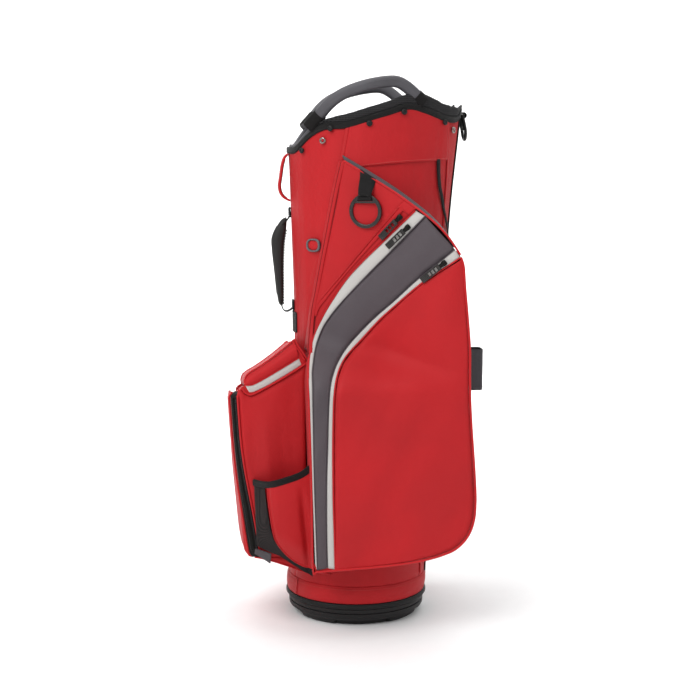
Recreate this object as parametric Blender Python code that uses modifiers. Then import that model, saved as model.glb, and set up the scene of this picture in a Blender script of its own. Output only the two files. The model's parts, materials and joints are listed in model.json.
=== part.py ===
"""Golf cart bag: base, panelled body, collar with two lift handles, 14-way divider, pockets and hardware.

Metres, +Z up.  The origin is the centre of the foot's flat underside.  -X is the front of the bag
(trunk handle and ball pocket), +X the spine, -Y the near side with the large apparel pocket.
An angle "turn" runs round the bag from the front: 0 front, 90 near side, 180 spine, 270 far side.
"""
import math

import bmesh
import bpy
from mathutils import Matrix, Vector

# ---- driving dimensions ----------------------------------------------------------------------
GAP = 0.0003                    # clearance between touching solids
FOOT_RADIUS = 0.108
FOOT_RIM_RADIUS = 0.1175
FOOT_HEIGHT = 0.030
WELT_HEIGHT = 0.010
HEM_TOP = 0.068
SKIN = 0.0025                   # fabric and lining together
SEAM_GAP = 0.35                 # degrees left open between two body panels
BINDING_HEIGHT = 0.010
PAD_HEIGHT = 0.017
FRAME_DEPTH = 0.035             # how far the moulded collar frame reaches down inside the skin
HANDLE_RADIUS = 0.0095

# body sections: height, front X, rear X, half depth in Y
BODY = [(0.045, -0.118, 0.118, 0.118), (0.25, -0.108, 0.128, 0.112), (0.50, -0.1045, 0.1445, 0.112),
        (0.70, -0.1105, 0.159, 0.118), (0.83, -0.1155, 0.1725, 0.122), (0.90, -0.118, 0.179, 0.124)]
# height of the fabric's upper edge against turn
RIM = [(-22, 0.786), (0, 0.785), (22, 0.786), (41, 0.811), (52, 0.821), (68, 0.8235), (93, 0.842), (108, 0.852),
       (136, 0.836), (156, 0.835), (168, 0.846), (180, 0.852), (192, 0.846)]
RIM_STEP = 7.5
RIM_CLEAR = 0.0026              # the fabric's edge stops this far below the binding
# front seam: height against turn; it leaves the rim and runs down to the ball pocket
FRONT_SEAM = [(0.05, 22.0), (0.30, 26.0), (0.47, 32.0), (0.587, 45.0), (0.677, 54.5), (0.765, 63.3), (0.87, 71.0)]
SPINE_SEAM = [(0.05, 150.0), (0.65, 151.0), (0.78, 147.0), (0.87, 138.0)]

PARTS = "golf_cart_bag"
COLOURS = {                     # base colour, roughness, metallic
    "red_nylon": ((0.56, 0.025, 0.028), 0.62, 0.0),
    "dark_grey_nylon": ((0.105, 0.085, 0.10), 0.65, 0.0),
    "light_grey_trim": ((0.55, 0.53, 0.51), 0.6, 0.0),
    "black_fabric": ((0.012, 0.011, 0.011), 0.85, 0.0),
    "black_plastic": ((0.012, 0.012, 0.013), 0.45, 0.0),
    "grey_plastic": ((0.085, 0.083, 0.095), 0.55, 0.0),
    "gunmetal": ((0.16, 0.155, 0.16), 0.35, 1.0),
    "board": ((0.09, 0.09, 0.095), 0.8, 0.0),
}


# ---- scene and helpers -----------------------------------------------------------------------
def clear_scene():
    for old in list(bpy.data.objects):
        bpy.data.objects.remove(old, do_unlink=True)


def collection(name):
    made = bpy.data.collections.new(name)
    bpy.context.scene.collection.children.link(made)
    return made


def material(name):
    found = bpy.data.materials.get(name)
    if found:
        return found
    colour, roughness, metallic = COLOURS[name]
    made = bpy.data.materials.new(name)
    made.use_nodes = True
    shader = made.node_tree.nodes["Principled BSDF"]
    shader.inputs["Base Color"].default_value = (*colour, 1.0)
    shader.inputs["Roughness"].default_value = roughness
    shader.inputs["Metallic"].default_value = metallic
    made.diffuse_color = (*colour, 1.0)
    return made


def spline(stations, at):
    """Smooth value through stations of (position, value, ...)."""
    last = len(stations) - 1
    index = 0
    while index < last - 1 and at > stations[index + 1][0]:
        index += 1
    low, high = stations[index], stations[index + 1]
    before = stations[max(index - 1, 0)]
    after = stations[min(index + 2, last)]
    step = high[0] - low[0]
    t = min(max((at - low[0]) / step, 0.0), 1.0)
    values = []
    for k in range(1, len(low)):
        slope_low = (high[k] - before[k]) / (high[0] - before[0]) * step
        slope_high = (after[k] - low[k]) / (after[0] - low[0]) * step
        values.append((2 * t**3 - 3 * t**2 + 1) * low[k] + (t**3 - 2 * t**2 + t) * slope_low
                      + (3 * t**2 - 2 * t**3) * high[k] + (t**3 - t**2) * slope_high)
    return values


def section(z):
    """Centre X, half width in X and half depth in Y of the body at a height."""
    front, rear, depth = spline(BODY, z)
    return (front + rear) / 2, (rear - front) / 2, depth


def on_body(turn, z, proud=0.0):
    centre, half_width, depth = section(z)
    angle = math.radians(turn)
    return Vector((centre - (half_width + proud) * math.cos(angle), -(depth + proud) * math.sin(angle), z))


def body_normal(turn, z):
    _, half_width, depth = section(z)
    angle = math.radians(turn)
    return Vector((-math.cos(angle) / half_width, -math.sin(angle) / depth, 0)).normalized()


def body_depth(x, z):
    """Distance in Y from the middle plane to the body surface at X and height."""
    centre, half_width, depth = section(z)
    share = min(abs(x - centre) / half_width, 1.0)
    return depth * math.sqrt(1 - share * share)


def rim(turn):
    """Height of the rim, straight between stations RIM_STEP apart so that the collar's pieces nest."""
    folded = abs((turn + 180.0) % 360.0 - 180.0)
    low = min(int(folded / RIM_STEP), int(180.0 / RIM_STEP) - 1) * RIM_STEP
    share = (folded - low) / RIM_STEP
    return spline(RIM, low)[0] * (1 - share) + spline(RIM, low + RIM_STEP)[0] * share


def finish_mesh(name, bm, colour, smooth=True):
    bmesh.ops.recalc_face_normals(bm, faces=bm.faces)
    mesh = bpy.data.meshes.new(name)
    bm.to_mesh(mesh)
    bm.free()
    made = bpy.data.objects.new(name, mesh)
    parts.objects.link(made)
    mesh.materials.append(material(colour))
    if smooth:
        mesh.shade_smooth()
        mesh.set_sharp_from_angle(angle=math.radians(35))
    return made


def loft(name, sections, colour, closed=False, ngon_ends=False):
    """Solid through closed sections with equal point counts."""
    bm = bmesh.new()
    rings = [[bm.verts.new(point) for point in ring] for ring in sections]
    count = len(rings[0])
    spans = list(zip(rings, rings[1:]))
    if closed:
        spans.append((rings[-1], rings[0]))
    for one, two in spans:
        for k in range(count):
            after = (k + 1) % count
            bm.faces.new((one[k], one[after], two[after], two[k]))
    if not closed:
        for ring in (rings[0], rings[-1]):
            if ngon_ends:
                bm.faces.new(ring)
                continue
            for k in range(count // 2 - 1):
                bm.faces.new((ring[k], ring[k + 1], ring[count - 2 - k], ring[count - 1 - k]))
    return finish_mesh(name, bm, colour)


def steps(start, end, count):
    return [start + (end - start) * k / count for k in range(count + 1)]


def box(name, size, colour, frame, middle=(0, 0, 0), bevel=0.0):
    """Cuboid in a local frame whose origin becomes the object's origin."""
    bm = bmesh.new()
    bmesh.ops.create_cube(bm, size=1.0)
    for vert in bm.verts:
        vert.co = Vector([vert.co[k] * size[k] + middle[k] for k in range(3)])
    made = finish_mesh(name, bm, colour, smooth=False)
    made.matrix_world = frame
    if bevel:
        rounding = made.modifiers.new("rounding", "BEVEL")
        rounding.width = bevel
        rounding.segments = 1
    return made


def frame_at(origin, along, normal):
    """Matrix whose X runs along, Z along the normal and whose origin is given."""
    x_axis = Vector(along).normalized()
    z_axis = Vector(normal)
    z_axis = (z_axis - x_axis * z_axis.dot(x_axis)).normalized()
    y_axis = z_axis.cross(x_axis)
    return Matrix.Translation(Vector(origin)) @ Matrix((x_axis, y_axis, z_axis)).transposed().to_4x4()


def turned(name, profile, colour, sides=40):
    """Solid turned about Z from a closed profile of (radius, height); radius 0 lies on the axis."""
    bm = bmesh.new()
    on_axis = {k: bm.verts.new((0, 0, z)) for k, (r, z) in enumerate(profile) if r == 0}
    rings = []
    for side in range(sides):
        angle = 2 * math.pi * side / sides
        rings.append([on_axis[k] if k in on_axis else bm.verts.new((r * math.cos(angle), r * math.sin(angle), z))
                      for k, (r, z) in enumerate(profile)])
    count = len(profile)
    for one, two in zip(rings, rings[1:] + rings[:1]):
        for k in range(count):
            after = (k + 1) % count
            corners = list(dict.fromkeys((one[k], one[after], two[after], two[k])))
            if len(corners) > 2:
                bm.faces.new(corners)
    return finish_mesh(name, bm, colour)


def tube(name, points, radius, colour, cyclic=False, sides=2):
    """Round bar along points as a mesh with welded caps."""
    curve = bpy.data.curves.new(name, "CURVE")
    curve.dimensions = "3D"
    curve.bevel_depth = radius
    curve.bevel_resolution = sides
    curve.use_fill_caps = True
    line = curve.splines.new("POLY")
    line.points.add(len(points) - 1)
    for slot, point in zip(line.points, points):
        slot.co = (*point, 1.0)
    line.use_cyclic_u = cyclic
    bar = bpy.data.objects.new(name + "_curve", curve)
    parts.objects.link(bar)
    bpy.context.view_layer.update()
    evaluated = bar.evaluated_get(bpy.context.evaluated_depsgraph_get())
    mesh = bpy.data.meshes.new_from_object(evaluated)
    bm = bmesh.new()
    bm.from_mesh(mesh)
    bmesh.ops.remove_doubles(bm, verts=bm.verts, dist=0.00002)
    bpy.data.objects.remove(bar, do_unlink=True)
    return finish_mesh(name, bm, colour)


def combine(target, cutter, operation):
    """Boolean with a cutter that stays in the cutters collection."""
    if cutter.name in parts.objects:
        parts.objects.unlink(cutter)
        cutters.objects.link(cutter)
    cutter.hide_render = True
    cutter.display_type = "WIRE"
    change = target.modifiers.new(operation.lower(), "BOOLEAN")
    change.operation = operation
    change.solver = "EXACT"
    change.object = cutter


# ---- base ------------------------------------------------------------------------------------
def base():
    floor = 0.024
    wall = 0.006
    bottom_bevel = 0.004
    profile = [(FOOT_RIM_RADIUS, FOOT_HEIGHT), (FOOT_RIM_RADIUS - 0.002, 0.012),
               (FOOT_RADIUS, bottom_bevel), (FOOT_RADIUS - bottom_bevel, 0.0), (0.0, 0.0),
               (0.0, floor), (FOOT_RADIUS - wall, floor), (FOOT_RIM_RADIUS - wall, FOOT_HEIGHT)]
    foot = turned("base_foot", profile, "black_plastic")
    notch_size = (0.024, 0.098, 0.014)
    for side in range(4):
        turn = Matrix.Rotation(math.radians(90 * side), 4, "Z")
        notch = box(f"notch_{side}", notch_size, "black_plastic", turn, (FOOT_RADIUS + 0.006, 0, 0.0))
        combine(foot, notch, "DIFFERENCE")
    low = FOOT_HEIGHT + GAP
    high = low + WELT_HEIGHT
    turned("base_welt", [(0.1165, high), (0.1200, high - 0.0015), (0.1210, low + 0.005), (0.1200, low + 0.0015),
                         (0.1165, low), (0.1120, low), (0.1120, high)], "black_plastic")
    hem_low = high + GAP
    turned("base_hem_band", [(0.1172, HEM_TOP), (0.1180, hem_low), (0.1180 - SKIN, hem_low),
                             (0.1172 - SKIN, HEM_TOP)], "red_nylon")
    pad_low = floor + GAP
    pad_high = pad_low + 0.004
    turned("floor_pad", [(0.099, pad_high), (0.099, pad_low), (0.0, pad_low), (0.0, pad_high)], "black_fabric")


# ---- body panels -----------------------------------------------------------------------------
PANEL_LEVELS = 9


def panel(name, from_turn, to_turn, colour, spans):
    """Fabric panel of the body tube between two seams, from the hem to the rim."""
    low = HEM_TOP + GAP
    sections = []
    for share in steps(0.0, 1.0, spans):
        outer, inner = [], []
        for level in range(PANEL_LEVELS + 1):
            z = low + (0.80 - low) * level / PANEL_LEVELS
            for _ in range(3):
                turn = from_turn(z) + (to_turn(z) - from_turn(z)) * share
                z = low + (rim(turn) - RIM_CLEAR - low) * level / PANEL_LEVELS
            outer.append(on_body(turn, z))
            inner.append(on_body(turn, z, -SKIN))
        sections.append(outer + inner[::-1])
    return loft(name, sections, colour)


def front_seam(z):
    return spline(FRONT_SEAM, z)[0]


def spine_seam(z):
    return spline(SPINE_SEAM, z)[0]


def body():
    half = SEAM_GAP / 2
    panel("front_panel", lambda z: half - front_seam(z), lambda z: front_seam(z) - half, "red_nylon", 14)
    panel("side_panel_near", lambda z: front_seam(z) + half, lambda z: spine_seam(z) - half, "red_nylon", 11)
    panel("side_panel_far", lambda z: 360 - spine_seam(z) + half, lambda z: 360 - front_seam(z) - half,
          "red_nylon", 11)
    panel("spine_panel", lambda z: spine_seam(z) + half, lambda z: 360 - spine_seam(z) - half,
          "black_fabric", 7)


# ---- collar ----------------------------------------------------------------------------------
def ring_band(name, turns, low, high, outside, inside, colour, closed):
    """Band that follows the rim; low and high are heights above it, outside and inside its faces."""
    sections = []
    for turn in turns:
        edge = rim(turn)
        sections.append([on_body(turn, edge + low, outside), on_body(turn, edge + high, outside),
                         on_body(turn, edge + high, inside), on_body(turn, edge + low, inside)])
    return loft(name, sections, colour, closed)


def handle_path(side):
    """Centre line of one lift handle, following the collar in plan."""
    heights = [(-0.083, 0.8270), (-0.069, 0.8420), (-0.052, 0.8580), (-0.035, 0.8710), (-0.016, 0.8815),
               (0.009, 0.8915), (0.037, 0.8970), (0.053, 0.8958), (0.067, 0.8885), (0.081, 0.8770),
               (0.093, 0.8650)]
    inset = 0.0045
    points = []
    for x, z in heights:
        centre, half_width, depth = section(rim(60) + PAD_HEIGHT)
        share = (x - centre) / half_width
        points.append((x, side * (depth - inset) * math.sqrt(1 - share * share), z))
    return points


def collar():
    around = steps(0.0, 360.0 - RIM_STEP, 47)
    ring_band("collar_binding", around, GAP, BINDING_HEIGHT, 0.0022, -0.0028, "black_fabric", True)
    ring_band("collar_frame", around, -FRAME_DEPTH, BINDING_HEIGHT, -0.0045, -0.0085, "grey_plastic", True)
    pad_start = 4 * RIM_STEP
    pad = ring_band("collar_pad", steps(pad_start, 360 - pad_start, 40), BINDING_HEIGHT + GAP,
                    BINDING_HEIGHT + PAD_HEIGHT, 0.0020, -0.0085, "black_fabric", False)
    lip_end = pad_start - 0.5
    lip_turns = [-lip_end] + steps(-3 * RIM_STEP, 3 * RIM_STEP, 6) + [lip_end]
    ring_band("front_lip", lip_turns, BINDING_HEIGHT + GAP, BINDING_HEIGHT + 0.011,
              0.0, -0.0065, "grey_plastic", False)
    for side, word in ((-1, "near"), (1, "far")):
        handle = tube(f"handle_{word}", handle_path(side), HANDLE_RADIUS, "grey_plastic")
        bore = tube(f"handle_bore_{word}", handle_path(side), HANDLE_RADIUS + 0.0005, "grey_plastic")
        combine(pad, bore, "DIFFERENCE")
        combine_end_trim(handle, word)


def combine_end_trim(handle, word):
    """Cuts the handle's ends off where they would enter the collar frame and binding."""
    turns = steps(2 * RIM_STEP, 22 * RIM_STEP, 20)
    if word == "far":
        turns = [360 - turn for turn in turns]
    trim = ring_band(f"handle_trim_{word}", turns, -0.03, BINDING_HEIGHT + 2 * GAP, 0.02, -0.03,
                     "black_fabric", False)
    combine(handle, trim, "DIFFERENCE")


# ---- divider ---------------------------------------------------------------------------------
DIVIDER_FOOT = 0.050
SHEET = 0.0024
ROW_FOOT = [-0.059, 0.0, 0.059]         # X of the three full-width sheets at the foot
ROW_TOP = [-0.0375, 0.030, 0.0975]      # and at the top
ROW_HALF = [0.085, 0.105, 0.088]


def divider_top(x):
    return 0.790 + 0.22 * (x - 0.03)


def slab(name, foot_from, foot_to, top_from, top_to, y_low, y_high):
    """Divider sheet between two X lines that lean with the body."""
    corners = []
    for y in (y_low, y_high):
        corners.append([(foot_from, y, DIVIDER_FOOT), (foot_to, y, DIVIDER_FOOT),
                        (top_to, y, divider_top(top_to)), (top_from, y, divider_top(top_from))])
    return loft(name, corners, "black_fabric")


def divider():
    half = SHEET / 2
    for k, (foot, top, width) in enumerate(zip(ROW_FOOT, ROW_TOP, ROW_HALF)):
        slab(f"divider_row_{k + 1}", foot - half, foot + half, top - half, top + half, -width, width)
    clear = half + 0.0005
    foots = [-0.091 - clear] + ROW_FOOT + [0.105 + clear]
    tops = [-0.091 - clear] + ROW_TOP + [0.1535 + clear]
    crossings = [(-0.030, 0.030), (-0.053, 0.0, 0.053), (-0.053, 0.0, 0.053), (-0.030, 0.030)]
    for row, places in enumerate(crossings):
        for number, y in enumerate(places):
            slab(f"divider_cell_{row + 1}_{number + 1}", foots[row] + clear, foots[row + 1] - clear,
                 tops[row] + clear, tops[row + 1] - clear, y - half, y + half)
    for side, word in ((-1, "near"), (1, "far")):
        tube(f"stay_{word}", [(0.030, side * 0.100, DIVIDER_FOOT), (0.064, side * 0.100, 0.790)], 0.0035,
             "grey_plastic")


# ---- side pockets ----------------------------------------------------------------------------
POCKET_FACE = 0.182             # distance of the flat front from the middle plane
# left and right edges of the pocket, X against height
POCKET_LEFT = [(0.112, -0.074), (0.1165, -0.082), (0.134, -0.087), (0.215, -0.089), (0.300, -0.0905),
               (0.427, -0.0935), (0.455, -0.0925), (0.500, -0.084), (0.590, -0.068), (0.678, -0.052),
               (0.770, -0.036)]
POCKET_RIGHT = [(0.112, -0.050), (0.1165, 0.000), (0.122, 0.050), (0.134, 0.112), (0.150, 0.151),
                (0.172, 0.1680), (0.193, 0.1742), (0.227, 0.1766), (0.284, 0.1738), (0.344, 0.1692),
                (0.391, 0.1660), (0.440, 0.1650), (0.504, 0.1625), (0.568, 0.1570), (0.597, 0.1542),
                (0.622, 0.1465), (0.654, 0.125), (0.682, 0.097), (0.717, 0.050), (0.745, 0.0055),
                (0.770, -0.032)]
POCKET_ROWS = [0.112, 0.1165, 0.122, 0.134, 0.150, 0.172, 0.193, 0.227, 0.290, 0.350, 0.400, 0.425, 0.450, 0.475,
               0.500, 0.535, 0.568, 0.597, 0.622, 0.654, 0.682, 0.717, 0.745, 0.766]
# the slanted upper face: through the front seam and the far edge of the upper corner
SLANT_ORIGIN = (-0.0813, 0.4687)
SLANT_START = 0.065
SLANT_X = 0.5166
SLANT_Z = 0.0796


def slant_depth(x, z):
    return SLANT_START + SLANT_X * (x - SLANT_ORIGIN[0]) + SLANT_Z * (z - SLANT_ORIGIN[1])


def pocket_front(x, z):
    """Distance of the pocket's front from the middle plane."""
    hug = body_depth(x, z) + 0.005
    swell = 0.060 + (POCKET_FACE - 0.060) * min(max((0.505 - z) / 0.095, 0.0), 1.0)
    return min(max(hug, slant_depth(x, z), swell), POCKET_FACE)


def pocket_back(x, z):
    """Distance of the uncut back: inside the body, and standing off it past the spine side."""
    centre, half_width, depth = section(z)
    leave = centre + 0.8 * half_width
    if x > leave:
        return min(0.6 * depth + 0.75 * (x - leave) - 0.012, POCKET_FACE - 0.040)
    return max(body_depth(x, z) - 0.012, 0.040)


def body_envelope():
    """Cutter that gives the side pockets a back lying on the body."""
    rings = []
    for z in steps(0.080, 0.830, 15):
        rings.append([on_body(turn, z, 0.0008) for turn in steps(0.0, 352.5, 47)])
    return loft("body_envelope", rings, "red_nylon", ngon_ends=True)


def side_pocket(name, side, envelope):
    """Stack of level sections: the front from left to right, then the back again."""
    edge_round = 0.006
    rings = []
    for z in POCKET_ROWS:
        left, right = spline(POCKET_LEFT, z)[0], spline(POCKET_RIGHT, z)[0]
        front, back = [], []
        for share in (0.0, 0.035, 0.14, 0.28, 0.43, 0.58, 0.73, 0.87, 0.965, 1.0):
            x = left + (right - left) * share
            face = pocket_front(x, z)
            if share in (0.0, 1.0) or z == POCKET_ROWS[0]:
                face = max(face - edge_round, body_depth(x, z) + 0.0025)
            front.append((x, side * face, z))
            back.append((x, side * pocket_back(x, z), z))
        rings.append(front + back[::-1])
    pocket = loft(name, rings, "red_nylon")
    combine(pocket, envelope, "DIFFERENCE")


# ---- front pockets ---------------------------------------------------------------------------
FRONT_HALF_WIDTH = 0.108
WING_X = -0.0965                # where the front pocket's sides stop, beside the side pockets
SPLIT = ((-0.205, 0.400), (-0.090, 0.452))


def split_height(x):
    (x0, z0), (x1, z1) = SPLIT
    return z0 + (z1 - z0) * (x - x0) / (x1 - x0)


def plan(front_x, back_points, corner=0.018):
    """Plan outline of a front pocket, from the middle of its front round the near side to the back."""
    near = [(front_x, -0.055), (front_x + 0.001, -FRONT_HALF_WIDTH + corner),
            (front_x + corner * 0.3, -FRONT_HALF_WIDTH + corner * 0.3),
            (front_x + corner, -FRONT_HALF_WIDTH)]
    near += back_points
    return near + [(x, -y) for x, y in reversed(near)]


def ball_pocket():
    fronts = [(0.120, -0.192), (0.131, -0.200), (0.200, -0.207), (0.300, -0.216), (0.385, -0.2225), (None, -0.2235)]
    rings = []
    for z, front_x in fronts:
        level = z if z is not None else 0.44
        back = [(-0.150, -FRONT_HALF_WIDTH), (WING_X, -FRONT_HALF_WIDTH)]
        start = WING_X
        for turn in (21.0, 12.0, 4.0):
            point = on_body(turn, level, 0.0012)
            back.append((min(point.x, start), point.y))
        outline = plan(front_x, back)
        if z is None:
            rings.append([(x, y, split_height(x)) for x, y in outline])
        else:
            rings.append([(x, y, z) for x, y in outline])
    return loft("ball_pocket", rings, "red_nylon", ngon_ends=True)


def accessory_pocket():
    lid = [(-0.2235, 0.4000), (-0.2055, 0.4140), (-0.191, 0.4225), (-0.181, 0.434), (-0.150, 0.4555),
           (-0.1145, 0.479), (-0.1050, 0.483)]
    rings = []
    gap = 0.0006
    for x, z in lid:
        half = FRONT_HALF_WIDTH if x > -0.2055 else FRONT_HALF_WIDTH - 0.018
        low = split_height(x) + gap
        high = max(z, low + 0.004)
        rings.append([(x, -half, low), (x, -half, high), (x, half, high), (x, half, low)])
    return loft("accessory_pocket", rings, "red_nylon")


def bottle_pocket():
    wall = 0.0022
    face = FRONT_HALF_WIDTH + GAP * 2
    levels = [(0.112, -0.118, 0.007), (0.128, -0.150, 0.022), (0.142, -0.168, 0.032), (0.180, -0.175, 0.036),
              (0.247, -0.178, 0.036)]
    right = WING_X - 0.0006
    sections = []
    for number, (z, left, proud) in enumerate(levels):
        rise = 0.030 if number == len(levels) - 1 else 0.0
        slope = proud * 0.55
        outer = [(left, 0.0), (left + slope, proud - 0.004), (left + slope + 0.006, proud),
                 (right - 0.012, proud), (right - 0.002, proud * 0.85), (right, 0.0)]
        inner = []
        for x, y in outer:
            inward_x = wall * 1.2 if x < left + slope + 0.001 else (-wall if x > right - 0.003 else 0.0)
            inner.append((x + inward_x, max(y - wall, 0.0)))
        ring = []
        for x, y in outer + inner[::-1]:
            height = z + rise * (x - left) / (right - left)
            ring.append((x, -face - y, height))
        sections.append(ring)
    loft("bottle_pocket", sections, "red_nylon")
    box("drain_tab", (0.019, 0.0024, 0.013), "grey_plastic",
        frame_at((-0.1655, -FRONT_HALF_WIDTH - 0.0135, 0.1165), (0.82, 0, -0.3), (0, 0, 1)), bevel=0.0006)


# ---- front fittings --------------------------------------------------------------------------
TRUNK_AXIS_X = -0.1075


def trunk_handle():
    outline = [(-0.1185, 0.6785), (-0.1255, 0.6745), (-0.1345, 0.6620), (-0.1425, 0.6440), (-0.1420, 0.6240),
               (-0.1385, 0.5900), (-0.1345, 0.5520), (-0.1315, 0.5330), (-0.1270, 0.5290), (-0.1235, 0.5340),
               (-0.1232, 0.5600), (-0.1230, 0.6000), (-0.1215, 0.6350), (-0.1185, 0.6520), (-0.1165, 0.6700)]
    half = 0.0105
    sections = [[(x - TRUNK_AXIS_X, y, z) for x, z in outline] for y in (-half, half)]
    grip = loft("trunk_handle", sections, "black_plastic", ngon_ends=True)
    grip.matrix_world = Matrix.Translation((TRUNK_AXIS_X, 0, 0))
    straight = Matrix.Identity(4)
    box("handle_anchor_top", (0.0030, 0.026, 0.015), "black_fabric", straight, (-0.1124, 0, 0.6867))
    box("handle_anchor_bottom", (0.0030, 0.026, 0.015), "black_fabric", straight, (-0.1072, 0, 0.5310))


def front_lift_loop():
    path = [(-0.1160, 0.7822), (-0.1215, 0.7765), (-0.1250, 0.7650), (-0.1280, 0.7450), (-0.1300, 0.7300),
            (-0.1270, 0.7190), (-0.1215, 0.7110), (-0.1140, 0.7065)]
    half_width = 0.015
    half = 0.0013
    sections = []
    for k, (x, z) in enumerate(path):
        before, after = path[max(k - 1, 0)], path[min(k + 1, len(path) - 1)]
        along = Vector((after[0] - before[0], after[1] - before[1])).normalized()
        out_x, out_z = along.y * half, -along.x * half
        sections.append([(x - out_x, -half_width, z - out_z), (x + out_x, -half_width, z + out_z),
                         (x + out_x, half_width, z + out_z), (x - out_x, half_width, z - out_z)])
    loft("front_lift_loop", sections, "red_nylon")


def patch(name, turns, low, high, inside, outside, colour):
    sections = []
    for turn in turns:
        sections.append([on_body(turn, low, outside), on_body(turn, high, outside),
                         on_body(turn, high, inside), on_body(turn, low, inside)])
    return loft(name, sections, colour)


def small_fittings():
    patch("glove_patch", steps(-13.0, 13.0, 6), 0.4865, 0.5190, 0.0005, 0.0035, "black_fabric")
    turn, height = 38.4, 0.6385
    normal = body_normal(turn, height)
    bm = bmesh.new()
    major, minor = 0.0097, 0.0018
    rings = []
    for k in range(20):
        angle = 2 * math.pi * k / 20
        ring = []
        for j in range(6):
            round_angle = 2 * math.pi * j / 6
            reach = major + minor * math.cos(round_angle)
            ring.append(bm.verts.new((reach * math.cos(angle), reach * math.sin(angle),
                                      minor * math.sin(round_angle))))
        rings.append(ring)
    for one, two in zip(rings, rings[1:] + rings[:1]):
        for j in range(6):
            bm.faces.new((one[j], one[(j + 1) % 6], two[(j + 1) % 6], two[j]))
    eyelet = finish_mesh("pen_eyelet", bm, "grey_plastic")
    eyelet.matrix_world = frame_at(on_body(turn, height) + normal * 0.0032, (0, 0, 1), normal)
    strap = []
    inner, outer = 0.0013, 0.0031
    for level, middle in ((0.7715, 134.5), (0.725, 139.0), (0.683, 150.0), (0.640, 159.5)):
        half_turn = 1.5
        strap.append([on_body(middle - half_turn, level, inner), on_body(middle - half_turn, level, outer),
                      on_body(middle + half_turn, level, outer), on_body(middle + half_turn, level, inner)])
    loft("side_strap", strap, "black_fabric")
    wall = 0.0020
    x0, x1, y0, y1 = 0.1615, 0.2040, -0.0866, -0.0560
    loop = []
    for x_out, y_out, x_in, y_in in ((x0, y0, x0 + wall, y0 + wall), (x1, y0, x1 - wall, y0 + wall),
                                     (x1, y1, x1 - wall, y1 - wall), (x0, y1, x0 + wall, y1 - wall)):
        loop.append([(x_out, y_out, 0.393), (x_out, y_out, 0.461), (x_in, y_in, 0.461), (x_in, y_in, 0.393)])
    loft("umbrella_loop", loop, "dark_grey_nylon", closed=True)


# ---- towel ring ------------------------------------------------------------------------------
TOWEL_X = 0.001
TOWEL_TOP = 0.7162              # height of the ring's hinge
STRAP_HALF = 0.0125


def slant_frame(x, z, lift, along=(1.0, 0.0)):
    """Frame on the pocket's slanted face; X of the frame follows the given X, Z direction."""
    depth = slant_depth(x, z) + lift
    direction = Vector((along[0], -SLANT_X * along[0] - SLANT_Z * along[1], along[1]))
    normal = Vector((-SLANT_X, -1.0, -SLANT_Z))
    return frame_at((x, -depth, z), direction, normal)


def towel_ring():
    sections = []
    for z in (0.7265, 0.7330, 0.7400):
        ring = []
        for x, lift in ((TOWEL_X - STRAP_HALF * 0.87, 0.0010), (TOWEL_X + STRAP_HALF * 0.87, 0.0010),
                        (TOWEL_X + STRAP_HALF * 0.87, 0.0032), (TOWEL_X - STRAP_HALF * 0.87, 0.0032)):
            ring.append((x, -max(slant_depth(x, z), pocket_front(x, z)) - lift, z))
        sections.append(ring)
    loft("towel_strap", sections, "black_fabric")
    outer, wire = 0.0275, 0.0031
    major = outer - wire
    points = []
    for k in range(26):
        angle = 2 * math.pi * k / 26
        points.append((major * math.cos(angle), major * math.sin(angle) - major, 0.0))
    ring = tube("towel_ring", points, wire, "gunmetal", cyclic=True)
    drop = 0.0095
    reach = math.sqrt(major**2 - (major - drop)**2)
    bar = tube("towel_ring_bar", [(-reach, -drop, 0), (reach, -drop, 0)], wire * 0.75, "gunmetal")
    place = slant_frame(TOWEL_X - 0.001, TOWEL_TOP, 0.0070)
    ring.matrix_world = place
    bar.matrix_world = place
    combine(ring, bar, "UNION")


# ---- zips ------------------------------------------------------------------------------------
SLIDER = (0.011, 0.0085, 0.0042)
PULL = (0.038, 0.0105, 0.0022)


def zip_set(name, frame):
    """Slider and pull tab; X of the frame is the way the zip opens, Z points off the fabric."""
    box(f"{name}_slider", SLIDER, "gunmetal", frame, (0, 0, SLIDER[2] / 2), 0.0008)
    hinge = frame @ Matrix.Translation((0.0075, 0, 0.0028))
    box(f"{name}_pull", PULL, "gunmetal", hinge, (PULL[0] / 2, 0, 0), 0.0006)


def mirrored(frame):
    """The same frame on the far side of the bag."""
    origin = frame.translation
    x_axis = frame.col[0].xyz
    z_axis = frame.col[2].xyz
    return frame_at((origin.x, -origin.y, origin.z), (x_axis.x, -x_axis.y, x_axis.z),
                    (z_axis.x, -z_axis.y, z_axis.z))


def zips():
    lift = 0.0012
    upper = slant_frame(0.0645, 0.6658, lift, (-0.047, -0.0495))
    zip_set("zip_valuables", slant_frame(0.0524, 0.6814, lift, (-0.0355, -0.0415)))
    zip_set("zip_upper", upper)
    zip_set("zip_apparel", slant_frame(0.1192, 0.6103, lift, (-0.0582, -0.0523)))
    zip_set("zip_far", mirrored(upper))
    side = FRONT_HALF_WIDTH + lift
    run = (SPLIT[1][0] - SPLIT[0][0], 0.0, SPLIT[1][1] - SPLIT[0][1])
    below_seam = 0.0125
    zip_set("zip_accessory", frame_at((-0.185, side, split_height(-0.185) - below_seam), run, (0, 1, 0)))
    zip_set("zip_ball", frame_at((-0.176, side, 0.150), (-0.024, 0.0, 0.276), (0, 1, 0)))


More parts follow.
